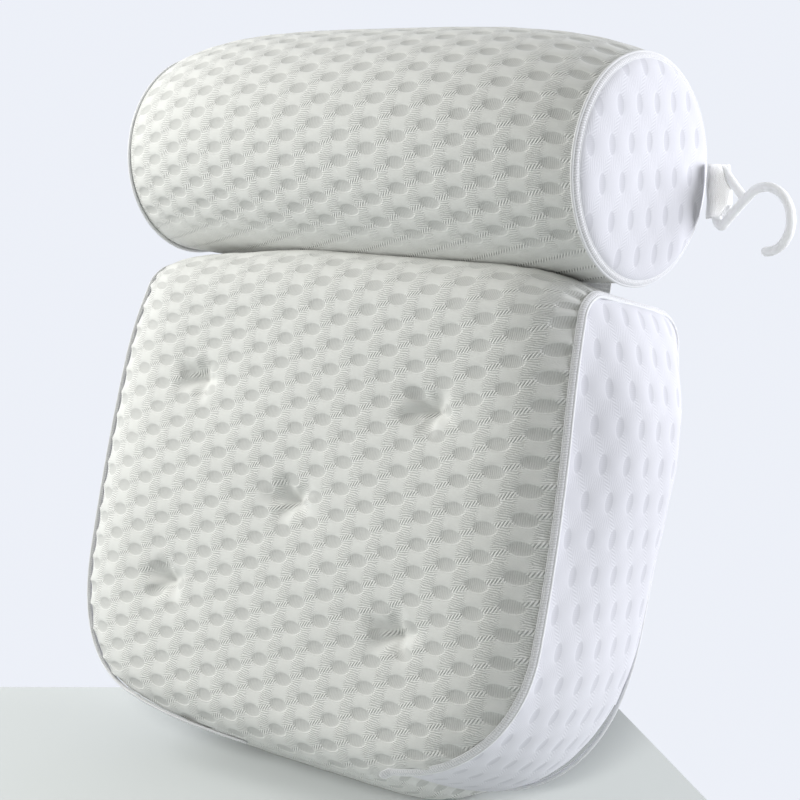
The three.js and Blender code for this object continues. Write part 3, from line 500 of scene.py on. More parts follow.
# edging: a flat band of overlocked thread with a round piping along one side and a fine lip along
# the other
binding = dict(
    half=1.9, thick=1.0, step=0.5, around=18, wrapPitch=1.4, wrapHeight=0.08, slant=0.9, clothRound=2.2,
    piping=0.95, pipingAt=1.75, lip=0.4, lipAt=2.05, offset=0.9, leftOffset=2.0, leftLean=0.25,
    rearOut=3.0, floorGap=3.1, ringGap=0.3, ringFacing=(0.8, 0.6),
    tailAim=(0, 0.2, -0.55), tailLength=7.0,  # the free end at the right
    underTurn=(46, 76), underEnd=18.0, underGap=1.2,  # the left one's way under the front
)


# closes an open end with a fan from its rim to its middle
def capGrid(rim, middle, finish=0):
    points = np.stack([rim, np.broadcast_to(middle, rim.shape)])
    return grid(points, np.zeros(points.shape[:2]), 0.0, finish)


# an oval section carried along a path: half axes along "out" and along "side"
def sweepOval(centre, out, side, outAxis, sideAxis, closed, finish, run):
    turn = evenly(0, 2 * np.pi, binding["around"])
    a = outAxis * np.cos(turn)[None]
    c = sideAxis * np.sin(turn)[None]
    points = centre[:, None] + 0.001 * (a[..., None] * out[:, None] + c[..., None] * side[:, None])
    points[:, -1] = points[:, 0]
    if closed:
        points[-1] = points[0]
    grids = [grid(points, run[:, None] * 1000, turn[None] * binding["clothRound"], finish)]
    if not closed:
        grids += [capGrid(points[end], centre[end], finish) for end in (0, -1)]
    return grids


# evens out a path and its outward directions, then sweeps the thread band, the piping and the lip
# along it
def edgingGrids(path, outward, closed, inward):
    b = binding
    both = np.concatenate([path, outward], 1)
    if closed:
        both = np.concatenate([both, both[:1]])
    length = runAlong(both[:, :3])
    run = evenly(0, length[-1], int(length[-1] * 1000 / b["step"]))
    evened = np.stack([np.interp(run, length, column) for column in both.T], -1)
    centre, out = evened[:, :3], evened[:, 3:]
    tangent = unit(np.gradient(centre, axis=0))
    out = unit(out - tangent * np.sum(out * tangent, 1, keepdims=True))
    side = np.cross(tangent, out) * inward
    turn = evenly(0, 2 * np.pi, b["around"])
    phase = run[:, None] * 1000 / b["wrapPitch"] + b["slant"] * turn[None] / (2 * np.pi)
    ridge = b["wrapHeight"] * (np.abs(np.sin(np.pi * phase)) - 0.6)
    taper = np.ones((len(run), 1))
    if not closed:
        taper[:, 0] = 0.5 + 0.5 * smooth(0, 0.002, np.minimum(run, length[-1] - run))
    thick, half = (b["thick"] + ridge) * taper, (b["half"] + ridge) * taper
    grids = sweepOval(centre, out, side, thick, half, closed, 0, run)
    for radius, shift in ((b["piping"], b["pipingAt"]), (b["lip"], -b["lipAt"])):
        line = centre + 0.001 * side * shift * taper
        grids += sweepOval(line, out, side, radius * taper, radius * taper, closed, 1, run)
    return grids


# line of one side's edging: up the rear seam, over the top and down the front seam; at the right it
# ends in a short free tail, at the left it runs on along the round under the front
def sideEdging(side):
    f, b = padForm, binding
    part, value = stripRows()
    arcs = f["arcRows"]
    shares = evenly(0, 1, f["depthCols"])
    lean, offset = (1.0, b["offset"]) if side > 0 else (b["leftLean"], b["leftOffset"])
    lines, outs = [], []

    # one stretch of the line and the way it faces: outwards, and towards the panel beside it
    def lay(p, v, share, panelDepth, panelUp, proud=0.0):
        seam = np.stack(stripSurface(p, v, share), -1)
        turned = np.where(np.broadcast_to(p, seam.shape[:-1]) == 2, v, 0)
        o = np.stack(np.broadcast_arrays(np.cos(turned), panelDepth, panelUp - np.sin(turned)), -1)
        lines.append(seam + unit(o) * (offset + proud))
        outs.append(unit(o))

    rearPart, rearValue = part[:arcs:-1], value[:arcs:-1]
    low = np.where(rearPart == 2, np.sin(rearValue), 0) ** 2
    proud = b["rearOut"] * 4 * low * (1 - low)  # most half way round the bottom corner
    lay(rearPart, rearValue, 1.0, mix(-1.0, -0.3, low), 0.0, proud[:, None])
    topPart, topTurn = part[:arcs + 1], value[:arcs + 1]
    lay(topPart[::-1], topTurn[::-1], 1.0, -np.sin(topTurn[::-1]), np.cos(topTurn[::-1]))
    lay(part[0], value[0], shares[-2:0:-1], 0.0, 1.0)
    lay(topPart, topTurn, 0.0, np.sin(topTurn) * lean, np.cos(topTurn))
    lay(part[arcs + 1:], value[arcs + 1:], 0.0, lean, 0.0)
    line, out = np.concatenate(lines), np.concatenate(outs)
    tip = line[-1]
    if side > 0:
        aim = unit(unit(tip - line[-4]) + np.array(b["tailAim"]))
        tail = tip + np.linspace(0.15, 1, 8)[:, None] * aim * b["tailLength"]
    else:
        go = np.linspace(0.06, 1, 40)
        turn = np.radians(mix(*b["underTurn"], go))
        reach = f["toeRadius"] + b["underGap"]
        toeDepth = f["depth"] + f["frontCrown"] - f["toeRadius"]
        under = np.stack([mix(tip[0], b["underEnd"], go), toeDepth + reach * np.cos(turn),
                          f["toeHeight"] - reach * np.sin(turn)], -1)
        tail = mix(tip, under, smooth(0, 0.45, go)[:, None])
    line = np.concatenate([line, tail])
    out = np.concatenate([out, np.repeat(out[-1:], len(tail), 0)])
    line[:, 2] = np.maximum(line[:, 2], floorHeight(line[:, 1]) + b["floorGap"])
    line[:, 0] *= side
    out[:, 0] *= side
    return placePad(*line.T), place(*out.T) - place(0, 0, 0)


# a ring round the seam of one of the roll's ends; it faces sideways and outwards
def ringEdging(side):
    r = rollForm
    turn = np.linspace(0, 2 * np.pi, 361)[:-1]
    radius = r["endRadius"] + binding["ringGap"]
    ring = place(side * r["halfLength"], r["axisDepth"] + radius * np.cos(turn),
                 r["axisHeight"] + radius * np.sin(turn))
    sideways, outwards = binding["ringFacing"]
    facing = place(side * sideways, outwards * np.cos(turn), outwards * np.sin(turn)) - place(0, 0, 0)
    return ring, facing


sides = dict(left=-1, right=1)
sideBindings = {name: meshFromGrids(f"edging_{name}", edgingGrids(*sideEdging(side), False, -side))
                for name, side in sides.items()}
rollBindings = {name: meshFromGrids(f"roll_edging_{name}", edgingGrids(*ringEdging(side), True, -side))
                for name, side in sides.items()}


# a turned piece: a profile of radius and reach carried round an axis square to the back
def turnedGrid(profile, across, height, sides):
    radius, reach = np.array(profile, float).T
    turn = evenly(0, 2 * np.pi, sides)
    x = across + radius[:, None] * np.cos(turn)[None]
    h = height + radius[:, None] * np.sin(turn)[None]
    points = place(x, -reach[:, None], h)
    points[:, -1] = points[:, 0]
    return grid(points, turn[None] * 20, reach[:, None])


# rounds a coarse profile by cutting its corners
def rounded(profile, passes=2):
    p = np.array(profile, float)
    for _ in range(passes):
        q = np.empty((2 * len(p) - 2, 2))
        q[0::2] = 0.75 * p[:-1] + 0.25 * p[1:]
        q[1::2] = 0.25 * p[:-1] + 0.75 * p[1:]
        p = np.concatenate([p[:1], q, p[-1:]])
    return p


# suction cups with their eyelets: profiles in mm, reach counted backwards from the cloth
cup = dict(
    places=dict(lower_left=(-62, 15.98), lower_right=(62, 15.98),
                upper_left=(-105, 195), upper_right=(105, 195),
                roll_left=(-105, 352), roll_right=(105, 352)),
    profile=[(0, -8.3), (9, -8.3), (9, -5.4), (4.5, -5.4), (4.5, 2.7), (13, 2.7), (14.6, 4.5),
             (20, 10.8), (25.2, 17.6), (27, 19.4), (27, 20), (25.3, 20), (22, 17.2), (15, 12.9),
             (6.5, 11.2), (0, 10.4)],
    eyelet=[(5.2, 0.4), (12, 0.4), (11.6, 1.4), (10.6, 2.2), (6.2, 2.3), (5.2, 1.8), (5.2, 0.4)],
    sides=56,
)
cups, eyelets = {}, {}
for name, (across, height) in cup["places"].items():
    bell = turnedGrid(rounded(cup["profile"]), across, height, cup["sides"])
    cups[name] = meshFromGrids(f"cup_{name}", [bell])
    ring = turnedGrid(rounded(cup["eyelet"], 1), across, height, cup["sides"])
    eyelets[name] = meshFromGrids(f"eyelet_{name}", [ring])

# joining tape: a flat band with rounded long edges, a superellipse section carried across and
# pressed thinner in the last millimetres at each end; its ribs and sewing are in metres
tape = dict(
    halfLength=119.5, low=236.3, high=320.2, reach=1.85, thick=2.8, cols=240, around=72,
    upPower=0.35, outPower=0.6, endShare=0.25, endReach=7, rib=0.0024, stitch=0.005, sewnIn=0.006,
)


def makeTape():
    t = tape
    turn = evenly(0, 2 * np.pi, t["around"])
    up = np.sign(np.sin(turn)) * np.abs(np.sin(turn)) ** t["upPower"] * (t["high"] - t["low"]) / 2
    up = up + (t["high"] + t["low"]) / 2
    out = np.sign(np.cos(turn)) * np.abs(np.cos(turn)) ** t["outPower"] * t["thick"] / 2
    across = evenly(-t["halfLength"], t["halfLength"], t["cols"])
    pressed = mix(t["endShare"], 1, smooth(0, t["endReach"], t["halfLength"] - np.abs(across)))
    points = place(across[:, None], -(t["reach"] + out[None] * pressed[:, None]), up[None])
    points[:, -1] = points[:, 0]
    caps = [capGrid(end, end[:-1].mean(0)) for end in (points[0], points[-1])]
    return meshFromGrids("tape_band", [grid(points, across[:, None], up[None]), *caps])


joiningTape = makeTape()

# hook and webbing tab, in an upright plane turned a little to the front; the eye is drawn as points
# out and up (mm), then the round: its middle, radius, first angle and sweep
hookForm = dict(
    bend=(178.7, 99.267, 344.968), turn=-10.0, tabLength=6.0, sag=0.6, wire=2.75, armShare=0.95,
    eye=[(6.3, 12.0), (5.3, 13.5), (3.6, 14.3), (1.8, 13.8), (0.5, 12.4), (0, 10.4), (0, 0),
         (0, -11.5), (0.5, -13.6), (1.8, -15.1), (3.6, -15.7), (5.3, -14.8), (6.5, -13.3),
         (12.0, -8.0), (18.0, -2.4)],
    round=(35.0, -10.5, 17.3, 138.0, 226.0), armStart=(5.6, 13.0), apex=(19.0, 0.0),
    skin=0.0004, relax=14,
)


def hookPlane(out, sideways, up):
    f = hookForm
    turn = np.radians(f["turn"])
    x = f["bend"][0] + out * np.cos(turn) - sideways * np.sin(turn)
    y = f["bend"][1] + out * np.sin(turn) + sideways * np.cos(turn)
    return np.stack([x, y, f["bend"][2] + up], -1) * 0.001


# a smooth line through points: Catmull-Rom pieces worked out as arrays
def throughPoints(points, steps=10):
    p = np.array(points, float)
    p = np.concatenate([2 * p[:1] - p[1:2], p, 2 * p[-1:] - p[-2:-1]])
    t = np.linspace(0, 1, steps, endpoint=False)[None, :, None]
    a, b, c, d = (p[k:len(p) - 3 + k][:, None] for k in range(4))
    curve = 2 * b + (c - a) * t + (2 * a - 5 * b + 4 * c - d) * t ** 2
    curve = 0.5 * (curve + (3 * b - a - 3 * c + d) * t ** 3)
    return np.concatenate([curve.reshape(-1, p.shape[1]), p[-2:-1]])


# a round wire carried along a line in the hook's plane, with domed ends
def wireGrid(line, radius, sides=24, domeRings=5):
    tangent = unit(np.gradient(line, axis=0))
    normal = np.stack([-tangent[:, 1], tangent[:, 0]], -1)
    rise = evenly(0, np.pi / 2, domeRings)[:-1]
    grow = np.concatenate([np.sin(rise), np.ones(len(line)), np.sin(rise)[::-1]])
    ahead = (radius - radius * (1 - np.cos(rise)))[:, None]
    line = np.concatenate([line[0] - tangent[0] * ahead, line, line[-1] + tangent[-1] * ahead[::-1]])
    normal = np.pad(normal, ((domeRings, domeRings), (0, 0)), "edge")
    turn = evenly(0, 2 * np.pi, sides)
    r = radius * grow[:, None]
    out = line[:, :1] + normal[:, :1] * r * np.cos(turn)
    up = line[:, 1:] + normal[:, 1:] * r * np.cos(turn)
    points = hookPlane(hookForm["tabLength"] + out, r * np.sin(turn), up - hookForm["sag"])
    points[:, -1] = points[:, 0]
    return grid(points, out, up)


# the wire goes round the eye and out along the round; a straight arm closes the eye
def makeHook():
    f = hookForm
    cx, cy, radius, first, sweep = f["round"]
    turn = np.radians(first - np.linspace(0, sweep, 26))
    bow = np.stack([cx + radius * np.cos(turn), cy + radius * np.sin(turn)], -1)
    line = throughPoints(np.concatenate([f["eye"], bow]))
    arm = mix(np.array([f["armStart"]]), np.array([f["apex"]]), np.linspace(0, 1, 30)[:, None])
    wires = [wireGrid(line, f["wire"]), wireGrid(arm, f["wire"] * f["armShare"])]
    piece = meshFromGrids("hanging_hook", wires, 0.000004)
    fuse = piece.modifiers.new("fuse", "REMESH")  # one skin round both wires
    fuse.mode = "VOXEL"
    fuse.voxel_size = f["skin"]
    relax = piece.modifiers.new("relax", "SMOOTH")
    relax.iterations = f["relax"]
    moulded = piece.evaluated_get(bpy.context.evaluated_depsgraph_get())
    skin = bpy.data.meshes.new_from_object(moulded)
    piece.modifiers.clear()
    piece.data = skin
    skin.polygons.foreach_set("use_smooth", np.ones(len(skin.polygons), bool))
    print("hook fused,", len(skin.polygons), "faces")
    return piece


hook = makeHook()

# webbing: a band folded round the hook's bar in a loose loop that goes on beyond it and narrows
# there, wider above the bar than below; the legs start at the seam
webbing = dict(
    above=17.2, below=13.0, belowBar=11.5, taper=0.42, taperFrom=0.45, thick=1.4, loop=3.2, loopEnd=9.5,
    fold=12.5, foldRadius=1.8, foldTurn=80, legs=[(-0.8, -0.85), (1.0, -1.5), (3.0, -3.0)],
    crumple=0.25, edgeThin=0.35, cols=34,
)


def makeTab():
    w, f = webbing, hookForm
    loop = w["loop"] + w["thick"] / 2
    legs = np.array(w["legs"] + [(f["tabLength"], -loop), (w["loopEnd"], -loop)])
    end = w["foldRadius"] + w["thick"] / 2
    bow = np.radians(np.linspace(-w["foldTurn"], w["foldTurn"], 9))
    arc = np.stack([w["fold"] + end * np.cos(bow), end * np.sin(bow)], -1)
    line = throughPoints(np.concatenate([legs, arc, legs[::-1] * [1, -1]]), 6)
    tangent = unit(np.gradient(line, axis=0))
    normal = np.stack([tangent[:, 1], -tangent[:, 0]], -1)
    across = evenly(-1, 1, w["cols"])
    share = np.clip(line[:, :1] / f["tabLength"], 0, 1)
    beyond = (line[:, :1] - f["tabLength"]) / (w["fold"] + end - f["tabLength"])
    narrow = mix(1, w["taper"], smooth(w["taperFrom"], 1, beyond))
    below = mix(w["below"], w["belowBar"], share)
    up = np.where(across[None] > 0, w["above"], below) * across[None] * narrow
    crumple = w["crumple"] * np.sin(across[None] * 5 + line[:, :1] * 0.5) * (1 - share)
    thick = w["thick"] / 2 * (1 - w["edgeThin"] * np.abs(across) ** 8)[None]
    outer, inner = (hookPlane(line[:, :1] + normal[:, :1] * off, line[:, 1:] + normal[:, 1:] * off, up)
                    for off in (thick + crumple, crumple - thick))
    run, up = np.broadcast_arrays(runAlong(line)[:, None], up)
    grids = [grid(outer, run, up), grid(inner, run, up)]
    for rim in (np.s_[0], np.s_[-1], np.s_[:, 0], np.s_[:, -1]):
        both = np.stack([outer[rim], inner[rim]])
        grids.append(grid(both, np.stack([run[rim]] * 2), np.stack([up[rim]] * 2)))
    return meshFromGrids("webbing_band", grids)


tab = makeTab()


# materials

# a material with some of its shader's sockets set
def newMaterial(name, sockets):
    material = bpy.data.materials.new(name)
    material.use_nodes = True
    shader = material.node_tree.nodes["Principled BSDF"]
    for socket, value in sockets.items():
        shader.inputs[socket].default_value = value
    return material, shader


# a new node in the tree of a node or socket
def newNode(near, kind):
    return near.id_data.nodes.new("ShaderNode" + kind)


# links a value to a socket of a node in its tree
def feed(node, socket, value):
    value.id_data.links.new(value, node.inputs[socket])


# one sum on values or links
def calc(operation, *values):
    links = [v for v in values if not isinstance(v, (int, float))]
    n = newNode(links[0], "Math")
    n.operation = operation
    for k, value in enumerate(values):
        if isinstance(value, (int, float)):
            n.inputs[k].default_value = value
        else:
            feed(n, k, value)
    return n.outputs[0]


# 0 to 1 as a value goes from low to high, eased at both ends
def ease(value, low, high):
    n = newNode(value, "MapRange")
    n.interpolation_type = "SMOOTHSTEP"
    n.inputs["From Min"].default_value = low
    n.inputs["From Max"].default_value = high
    feed(n, "Value", value)
    return n.outputs["Result"]


def blend(share, first, second):
    n = newNode(share, "Mix")
    n.data_type = "RGBA"
    feed(n, "Factor", share)
    for socket, value in (("A", first), ("B", second)):
        plug = [i for i in n.inputs if i.name == socket and i.type == "RGBA"][0]
        if isinstance(value, tuple):
            plug.default_value = (*value, 1)
        else:
            n.id_data.links.new(value, plug)
    return [o for o in n.outputs if o.type == "RGBA"][0]


# base colour: a blend of two colours
def paint(shader, share, first, second):
    feed(shader, "Base Color", blend(share, first, second))


def noise(vector, scale, detail=2.0):
    n = newNode(vector, "TexNoise")
    n.inputs["Scale"].default_value = scale
    n.inputs["Detail"].default_value = detail
    feed(n, "Vector", vector)
    return n.outputs["Fac"]


# cloudy noise fixed to the piece
def clouds(shader, scale):
    return noise(newNode(shader, "TexCoord").outputs["Object"], scale)


def bump(shader, height, strength, distance):
    n = newNode(height, "Bump")
    n.inputs["Strength"].default_value = strength
    n.inputs["Distance"].default_value = distance
    feed(n, "Height", height)
    feed(shader, "Normal", n.outputs["Normal"])


def clothCoordinates(shader):
    uv = newNode(shader, "UVMap")
    uv.uv_map = "cloth"
    split = newNode(shader, "SeparateXYZ")
    feed(split, 0, uv.outputs["UV"])
    return uv.outputs["UV"], split.outputs["X"], split.outputs["Y"]


def add(total, *values):
    for value in values:
        total = calc("ADD", total, value)
    return total


def times(total, *values):
    for value in values:
        total = calc("MULTIPLY", total, value)
    return total


def less(value, taken):
    return calc("SUBTRACT", value, taken)


# stripes across a value, from -1 to 1
def stripes(value, pitch):
    return calc("SINE", times(value, 2 * np.pi / pitch))


# where a spot lies from the middle of the nearest dimple, in half sizes of its oval, and how far
def nearestDimple(x, y, oval):
    found = []
    for half in (0.0, 0.5):
        spot = []
        for value, pitch, size in ((x, knit["columnPitch"], oval[0]), (y, knit["rowPitch"], oval[1])):
            cell = calc("FRACT", calc("MULTIPLY_ADD", value, 1000 / pitch, half + 100.5))
            spot.append(times(less(cell, 0.5), pitch / size))
        found.append((*spot, add(times(spot[0], spot[0]), times(spot[1], spot[1]))))
    first = calc("LESS_THAN", found[0][2], found[1][2])
    second = less(1.0, first)
    x, y = (add(times(found[0][k], first), times(found[1][k], second)) for k in (0, 1))
    return x, y, calc("SQRT", calc("MINIMUM", found[0][2], found[1][2]))


# knitted spacer mesh: fans of fine stitches leave both ends of every dimple, ladders of slanted
# stitches join the dimples one way, a thin raised rim round each is painted bright as a highlight,
# most on its lower side, upright threads lie on its floor, and the floor is painted darker as shade
def meshCloth(name, look):
    material, shader = newMaterial(name, {
        "Roughness": 0.95, "Sheen Weight": 0.08, "Sheen Roughness": 0.6, "Specular IOR Level": 0.2})
    uv, x, y = clothCoordinates(shader)
    ovalX, ovalY, away = nearestDimple(x, y, look["oval"])
    attribute = newNode(shader, "Attribute")
    attribute.attribute_name = "open"
    opened = attribute.outputs["Fac"]
    hole = times(ease(away, 1.02, 0.88), opened)
    outside = less(1.0, hole)
    fray = noise(uv, 1400)
    drift = times(less(noise(uv, 260), 0.5), 5.0)
    lanes = add(times(x, 1000 / knit["columnPitch"]), times(y, 1000 / knit["rowPitch"]))
    lane = calc("MAXIMUM", calc("COSINE", times(lanes, 2 * np.pi)), 0.0)
    lane = times(calc("POWER", lane, 5.0), outside)
    ladder = times(stripes(add(x, times(y, 0.5)), look["strokePitch"]), lane)
    endways = calc("ABSOLUTE", ovalX)
    ends = times(ease(endways, 0.5, 1.0), ease(endways, 2.9, 1.8))
    fan = calc("DIVIDE", ovalY, calc("MULTIPLY_ADD", endways, 0.3, 0.7))
    fan = calc("SINE", calc("MULTIPLY_ADD", fan, 2 * np.pi / look["fanPitch"], drift))
    fan = times(fan, ends, outside, less(1.0, lane), opened)
    fibre = times(stripes(x, 0.0011), hole)
    # painted highlight: a thin ring round each dimple, brightest on its lower side as if lit from above;
    # it also raises the bump
    rim = times(ease(away, 0.98, 1.08), ease(away, 1.22, 1.1))
    rim = times(rim, calc("MULTIPLY_ADD", ease(ovalY, -0.2, 0.6), 0.8, 0.2), opened)
    height = add(times(fan, 0.6), ladder, times(fibre, 0.25), rim, fray)
    bump(shader, height, look["relief"], 0.0004)
    stitch = add(times(fan, 0.26), times(ladder, 0.5), times(fibre, 0.06))
    mottle = times(less(noise(uv, 55), 0.5), 0.1)
    # painted shade: the dimple floors are darkened, less where the dimples are pressed shut; the
    # stitches lighten and darken in stripes
    dark = less(times(hole, look["hollow"]), times(stitch, look["stitch"]))
    toned = blend(add(dark, mottle, look["ground"]), look["colour"], look["shade"])
    # painted highlight: the rim is blended towards the look's thread colour
    paint(shader, times(rim, 0.6), toned, look["thread"])
    return material


# per look, thread is the colour of the painted highlight on the dimples' rims, and one share sets the
# painted shade on their floors
frontLook = dict(
    colour=(0.90, 0.905, 0.875), shade=(0.38, 0.385, 0.37), thread=(0.90, 0.905, 0.88),
    ground=0.3, oval=knit["frontOval"], hollow=0.25, stitch=1.6, relief=0.65,
    strokePitch=0.0017, fanPitch=0.30,
)
sideLook = dict(
    colour=(0.82, 0.82, 0.86), shade=(0.50, 0.50, 0.54), thread=(0.80, 0.80, 0.84),
    ground=0.3, oval=knit["sideOval"], hollow=0.24, stitch=0.45, relief=0.08,
    strokePitch=0.0017, fanPitch=0.42,
)
frontMesh = meshCloth("dimpled front mesh", frontLook)
sideMesh = meshCloth("dimpled side mesh", sideLook)


# overlocked thread: speckled, with painted shade in the slanted gaps between the wraps
def threadEdging():
    material, shader = newMaterial("overlocked thread", {"Roughness": 0.85, "Sheen Weight": 0.1})
    uv, x, y = clothCoordinates(shader)
    slope = binding["slant"] * binding["wrapPitch"] / (2 * np.pi * binding["clothRound"])
    wrap = calc("ABSOLUTE", stripes(add(x, times(y, slope)), binding["wrapPitch"] * 0.002))
    speckle = noise(uv, 1100, 3.0)
    # painted shade: darker in the gaps between the wraps, lighter on their crests
    dark = less(times(speckle, 1.5), times(wrap, 0.55))
    paint(shader, dark, (0.92, 0.92, 0.93), (0.54, 0.54, 0.56))
    bump(shader, speckle, 0.6, 0.0004)
    return material


# smooth cloth tape round the piping: a fine weave and soft streaks along it
def pipingTape():
    material, shader = newMaterial("white piping", {"Roughness": 0.7})
    uv, x, y = clothCoordinates(shader)
    weave = times(stripes(x, 0.0009), stripes(y, 0.0009))
    streak = noise(uv, 300)
    paint(shader, streak, (0.90, 0.90, 0.91), (0.80, 0.81, 0.82))
    bump(shader, add(weave, streak), 0.3, 0.0003)
    return material


# woven band: a plain weave of two crossed sines; light soaks into it
def wovenBand(name, colour, pitch):
    material, shader = newMaterial(name, {
        "Roughness": 0.85, "Sheen Weight": 0.1, "Subsurface Weight": 0.9,
        "Subsurface Radius": (1.0, 1.0, 1.0), "Subsurface Scale": 0.006})
    uv, x, y = clothCoordinates(shader)
    weave = times(stripes(x, pitch), stripes(y, pitch))
    dark = add(times(weave, 0.25), times(noise(uv, 180), 0.5))
    paint(shader, dark, colour, tuple(0.84 * c for c in colour))
    bump(shader, weave, 0.5, 0.0003)
    return material


# joining tape: ribs along it, and a dashed row of sewing near each long edge
def sewnTape():
    material, shader = newMaterial("ribbed joining tape", {"Roughness": 0.9, "Sheen Weight": 0.1})
    uv, x, y = clothCoordinates(shader)
    rib = stripes(y, tape["rib"])
    weave = times(stripes(x, 0.0016), rib)
    middle = 0.0005 * (tape["high"] + tape["low"])
    row = 0.0005 * (tape["high"] - tape["low"]) - tape["sewnIn"]
    toMiddle = calc("ABSOLUTE", less(y, middle))
    toRow = calc("ABSOLUTE", less(toMiddle, row))
    dash = ease(stripes(x, tape["stitch"]), -0.6, -0.2)
    sewn = times(ease(toRow, 0.0013, 0.0006), dash)
    dark = add(times(rib, 0.22), times(weave, 0.12), times(noise(uv, 140), 0.5))
    toned = blend(dark, (0.80, 0.80, 0.80), (0.58, 0.585, 0.60))
    paint(shader, sewn, toned, (0.40, 0.41, 0.43))
    bump(shader, less(add(rib, times(weave, 0.5)), times(sewn, 2.0)), 0.6, 0.0004)
    return material


# moulded white plastic: light soaks into it; a faint ripple and slightly uneven gloss
def mouldedPlastic():
    material, shader = newMaterial("moulded white plastic", {
        "Roughness": 0.28, "Subsurface Weight": 1.0,
        "Subsurface Radius": (1.0, 1.0, 1.0), "Subsurface Scale": 0.004})
    cloud = clouds(shader, 120)
    feed(shader, "Roughness", calc("MULTIPLY_ADD", cloud, 0.16, 0.2))
    paint(shader, cloud, (0.91, 0.915, 0.93), (0.95, 0.95, 0.96))
    bump(shader, cloud, 0.08, 0.0004)
    return material


# soft clear vinyl: milky, glossy, a little see-through
def softVinyl():
    material, shader = newMaterial("soft clear vinyl", {
        "Roughness": 0.18, "Transmission Weight": 0.8, "IOR": 1.46})
    cloud = clouds(shader, 90)
    feed(shader, "Roughness", calc("MULTIPLY_ADD", cloud, 0.14, 0.12))
    paint(shader, cloud, (0.86, 0.90, 0.92), (0.94, 0.96, 0.97))
    return material


thread = threadEdging()
piping = pipingTape()
tapeCloth = sewnTape()
webbingCloth = wovenBand("white webbing", (0.91, 0.91, 0.91), 0.0013)
plastic = mouldedPlastic()
vinyl = softVinyl()


def dress(piece, *finishes):
    for finish in finishes:
        piece.data.materials.append(finish)


dress(pad, frontMesh, sideMesh)
dress(roll, frontMesh, sideMesh)
for piece in (*sideBindings.values(), *rollBindings.values()):
    dress(piece, thread, piping)
for piece in cups.values():
    dress(piece, vinyl)
for piece in (*eyelets.values(), hook):
    dress(piece, plastic)
dress(joiningTape, tapeCloth)
dress(tab, webbingCloth)

# what stands for what, and what it moves with
tieNodes = [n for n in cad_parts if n.startswith("tuft_tie")]
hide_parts("pad_front_cover", "pad_side_strip_left", "pad_side_strip_right", "pad_back_cover",
            "pad_filling", *tieNodes)
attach(pad, "pad")
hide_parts("roll_barrel_cover", "roll_end_left", "roll_end_right", "roll_filling")
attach(roll, "roll")
for sideName in ("left", "right"):
    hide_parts(f"side_binding_{sideName}")
    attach(sideBindings[sideName], "pad")
    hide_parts(f"roll_binding_{sideName}")
    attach(rollBindings[sideName], "roll")
for name in cups:
    body = "roll" if name.startswith("roll") else "pad"
    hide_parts(f"suction_cup_{name}")
    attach(cups[name], body)
    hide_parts(f"cup_eyelet_{name}")
    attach(eyelets[name], body)
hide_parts("joining_tape")
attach(joiningTape, "pad")
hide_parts("webbing_tab")
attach(tab, "tab")
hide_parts("hook")
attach(hook, "hook")
print("pieces ride on their bodies")

# table, background and light
studio = dict(
    tableCorners=[(-1.41, -1.03), (0.0161, 0.2293), (1.6, -0.99), (0.2, -2.2)],
    tableColour=(0.352, 0.367, 0.369),
    roomColour=(0.95, 0.96, 0.94), roomStrength=0.235, ceilingStrength=0.38, ceilingEdge=(0.2, 0.95),
    wallColour=(0.90, 0.93, 1.0), wallStrength=0.94, wallWay=(-0.66, 0.75, 0.0), wallEdge=(0.1, 0.75),
)


def makeTable():
    corners = [(x, y, -0.0002) for x, y in studio["tableCorners"]]
    mesh = bpy.data.meshes.new("table_top")
    mesh.from_pydata(corners, [], [list(range(len(corners)))[::-1]])
    table = addObject("table_top", mesh)
    matt = {"Roughness": 0.9, "Specular IOR Level": 0.0}  # no glare from the lamp, seen from behind
    material, shader = newMaterial("pale table", matt)
    colour = studio["tableColour"]
    paint(shader, clouds(shader, 6), tuple(0.97 * c for c in colour), colour)
    mesh.materials.append(material)
    return table


table = makeTable()


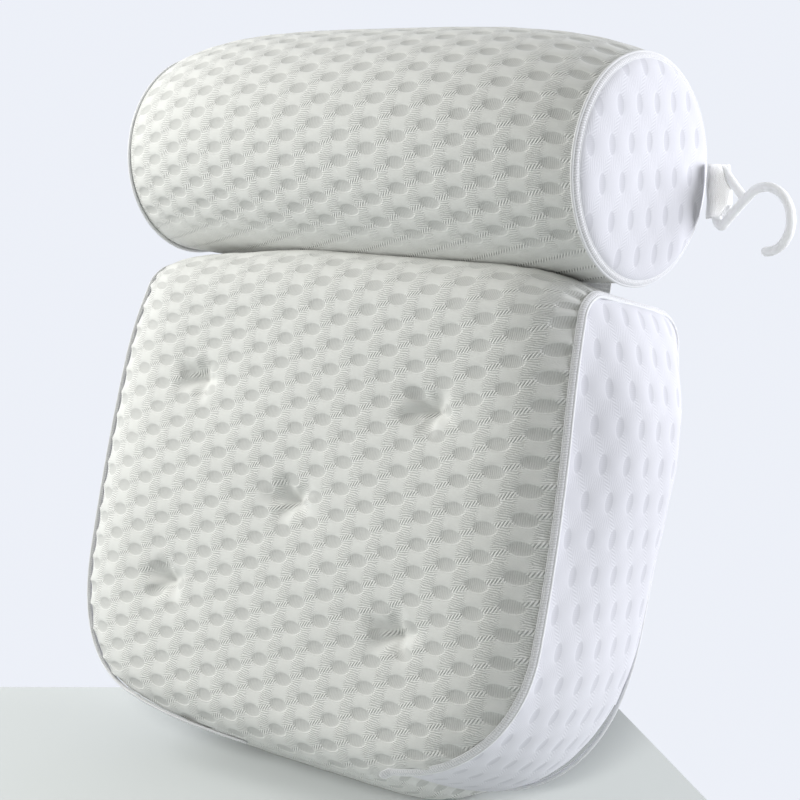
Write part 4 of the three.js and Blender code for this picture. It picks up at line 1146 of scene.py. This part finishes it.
# a soft room: even light, a paler ceiling, and a paler wall all round the way that the camera looks
def makeRoom():
    world = bpy.data.worlds.new("pale room")
    bpy.context.scene.world = world
    world.use_nodes = True
    backdrop = world.node_tree.nodes["Background"]
    way = newNode(backdrop, "TexCoord").outputs["Generated"]
    dot = newNode(backdrop, "VectorMath")
    dot.operation = "DOT_PRODUCT"
    dot.inputs[1].default_value = studio["wallWay"]
    feed(dot, 0, way)
    wall = ease(dot.outputs["Value"], *studio["wallEdge"])
    upward = newNode(backdrop, "SeparateXYZ")
    feed(upward, 0, way)
    ceiling = times(ease(upward.outputs["Z"], *studio["ceilingEdge"]), studio["ceilingStrength"])
    more = studio["wallStrength"] - studio["roomStrength"]
    even = calc("MULTIPLY_ADD", wall, more, studio["roomStrength"])
    feed(backdrop, "Strength", add(even, ceiling))
    feed(backdrop, "Color", blend(wall, studio["roomColour"], studio["wallColour"]))


makeRoom()

lamps = dict(
    side=dict(at=(1.45, 0.92, 0.5), aim=(0.1, 0.0, 0.24), size=1.1, watts=30, colour=(0.92, 0.935, 1.0)),
    front=dict(at=(-0.68, -0.52, 0.68), aim=(-0.05, 0.0, 0.24), size=0.65, watts=7.8,
               colour=(1.0, 0.995, 0.975)),
    hook=dict(at=(1.05, -0.25, 0.42), aim=(0.2, 0.09, 0.34), size=0.3, watts=0.9,
              colour=(0.97, 0.98, 1.0), only=hook),
    tab=dict(at=(0.72, -0.45, 0.5), aim=(0.2, 0.09, 0.34), size=0.3, watts=4.4,
             colour=(1.0, 0.995, 0.99), only=tab),
    table=dict(at=(4.2, -6.14, 2.94), aim=(0.0, -0.05, 0.0), size=2.8, watts=1600,
               colour=(1.0, 1.0, 0.97), only=table),
)


# an area lamp; one with a piece named lights only that piece
def addLamp(name, at, aim, size, watts, colour, only=None):
    data = bpy.data.lights.new(name, "AREA")
    data.shape = "DISK"
    data.size = size
    data.energy = watts
    data.color = colour
    lamp = addObject(name, data)
    lamp.location = at
    lamp.rotation_euler = Vector(np.array(aim) - np.array(at)).to_track_quat("-Z", "Y").to_euler()
    if only:
        lit = bpy.data.collections.new(f"lit by {name}")
        lit.objects.link(only)
        lamp.light_linking.receiver_collection = lit


for name, lamp in lamps.items():
    addLamp(name, **lamp)
bpy.context.scene.view_settings.view_transform = "Standard"

# the photo's camera: how far it looks down and is turned, in degrees
view = dict(at=(0.76964, -0.82519, 0.40301), down=9.03, turn=41.53, lens=88.18, sensor=36.0)
cameraData = bpy.data.cameras.new("camera")
cameraData.lens = view["lens"]
cameraData.sensor_width = view["sensor"]
cameraData.clip_end = 20
camera = addObject("camera", cameraData)
camera.location = view["at"]
camera.rotation_euler = (np.radians(90 - view["down"]), 0, np.radians(view["turn"]))
bpy.context.scene.camera = camera
print("stage, light and camera are set")

bpy.context.view_layer.update()
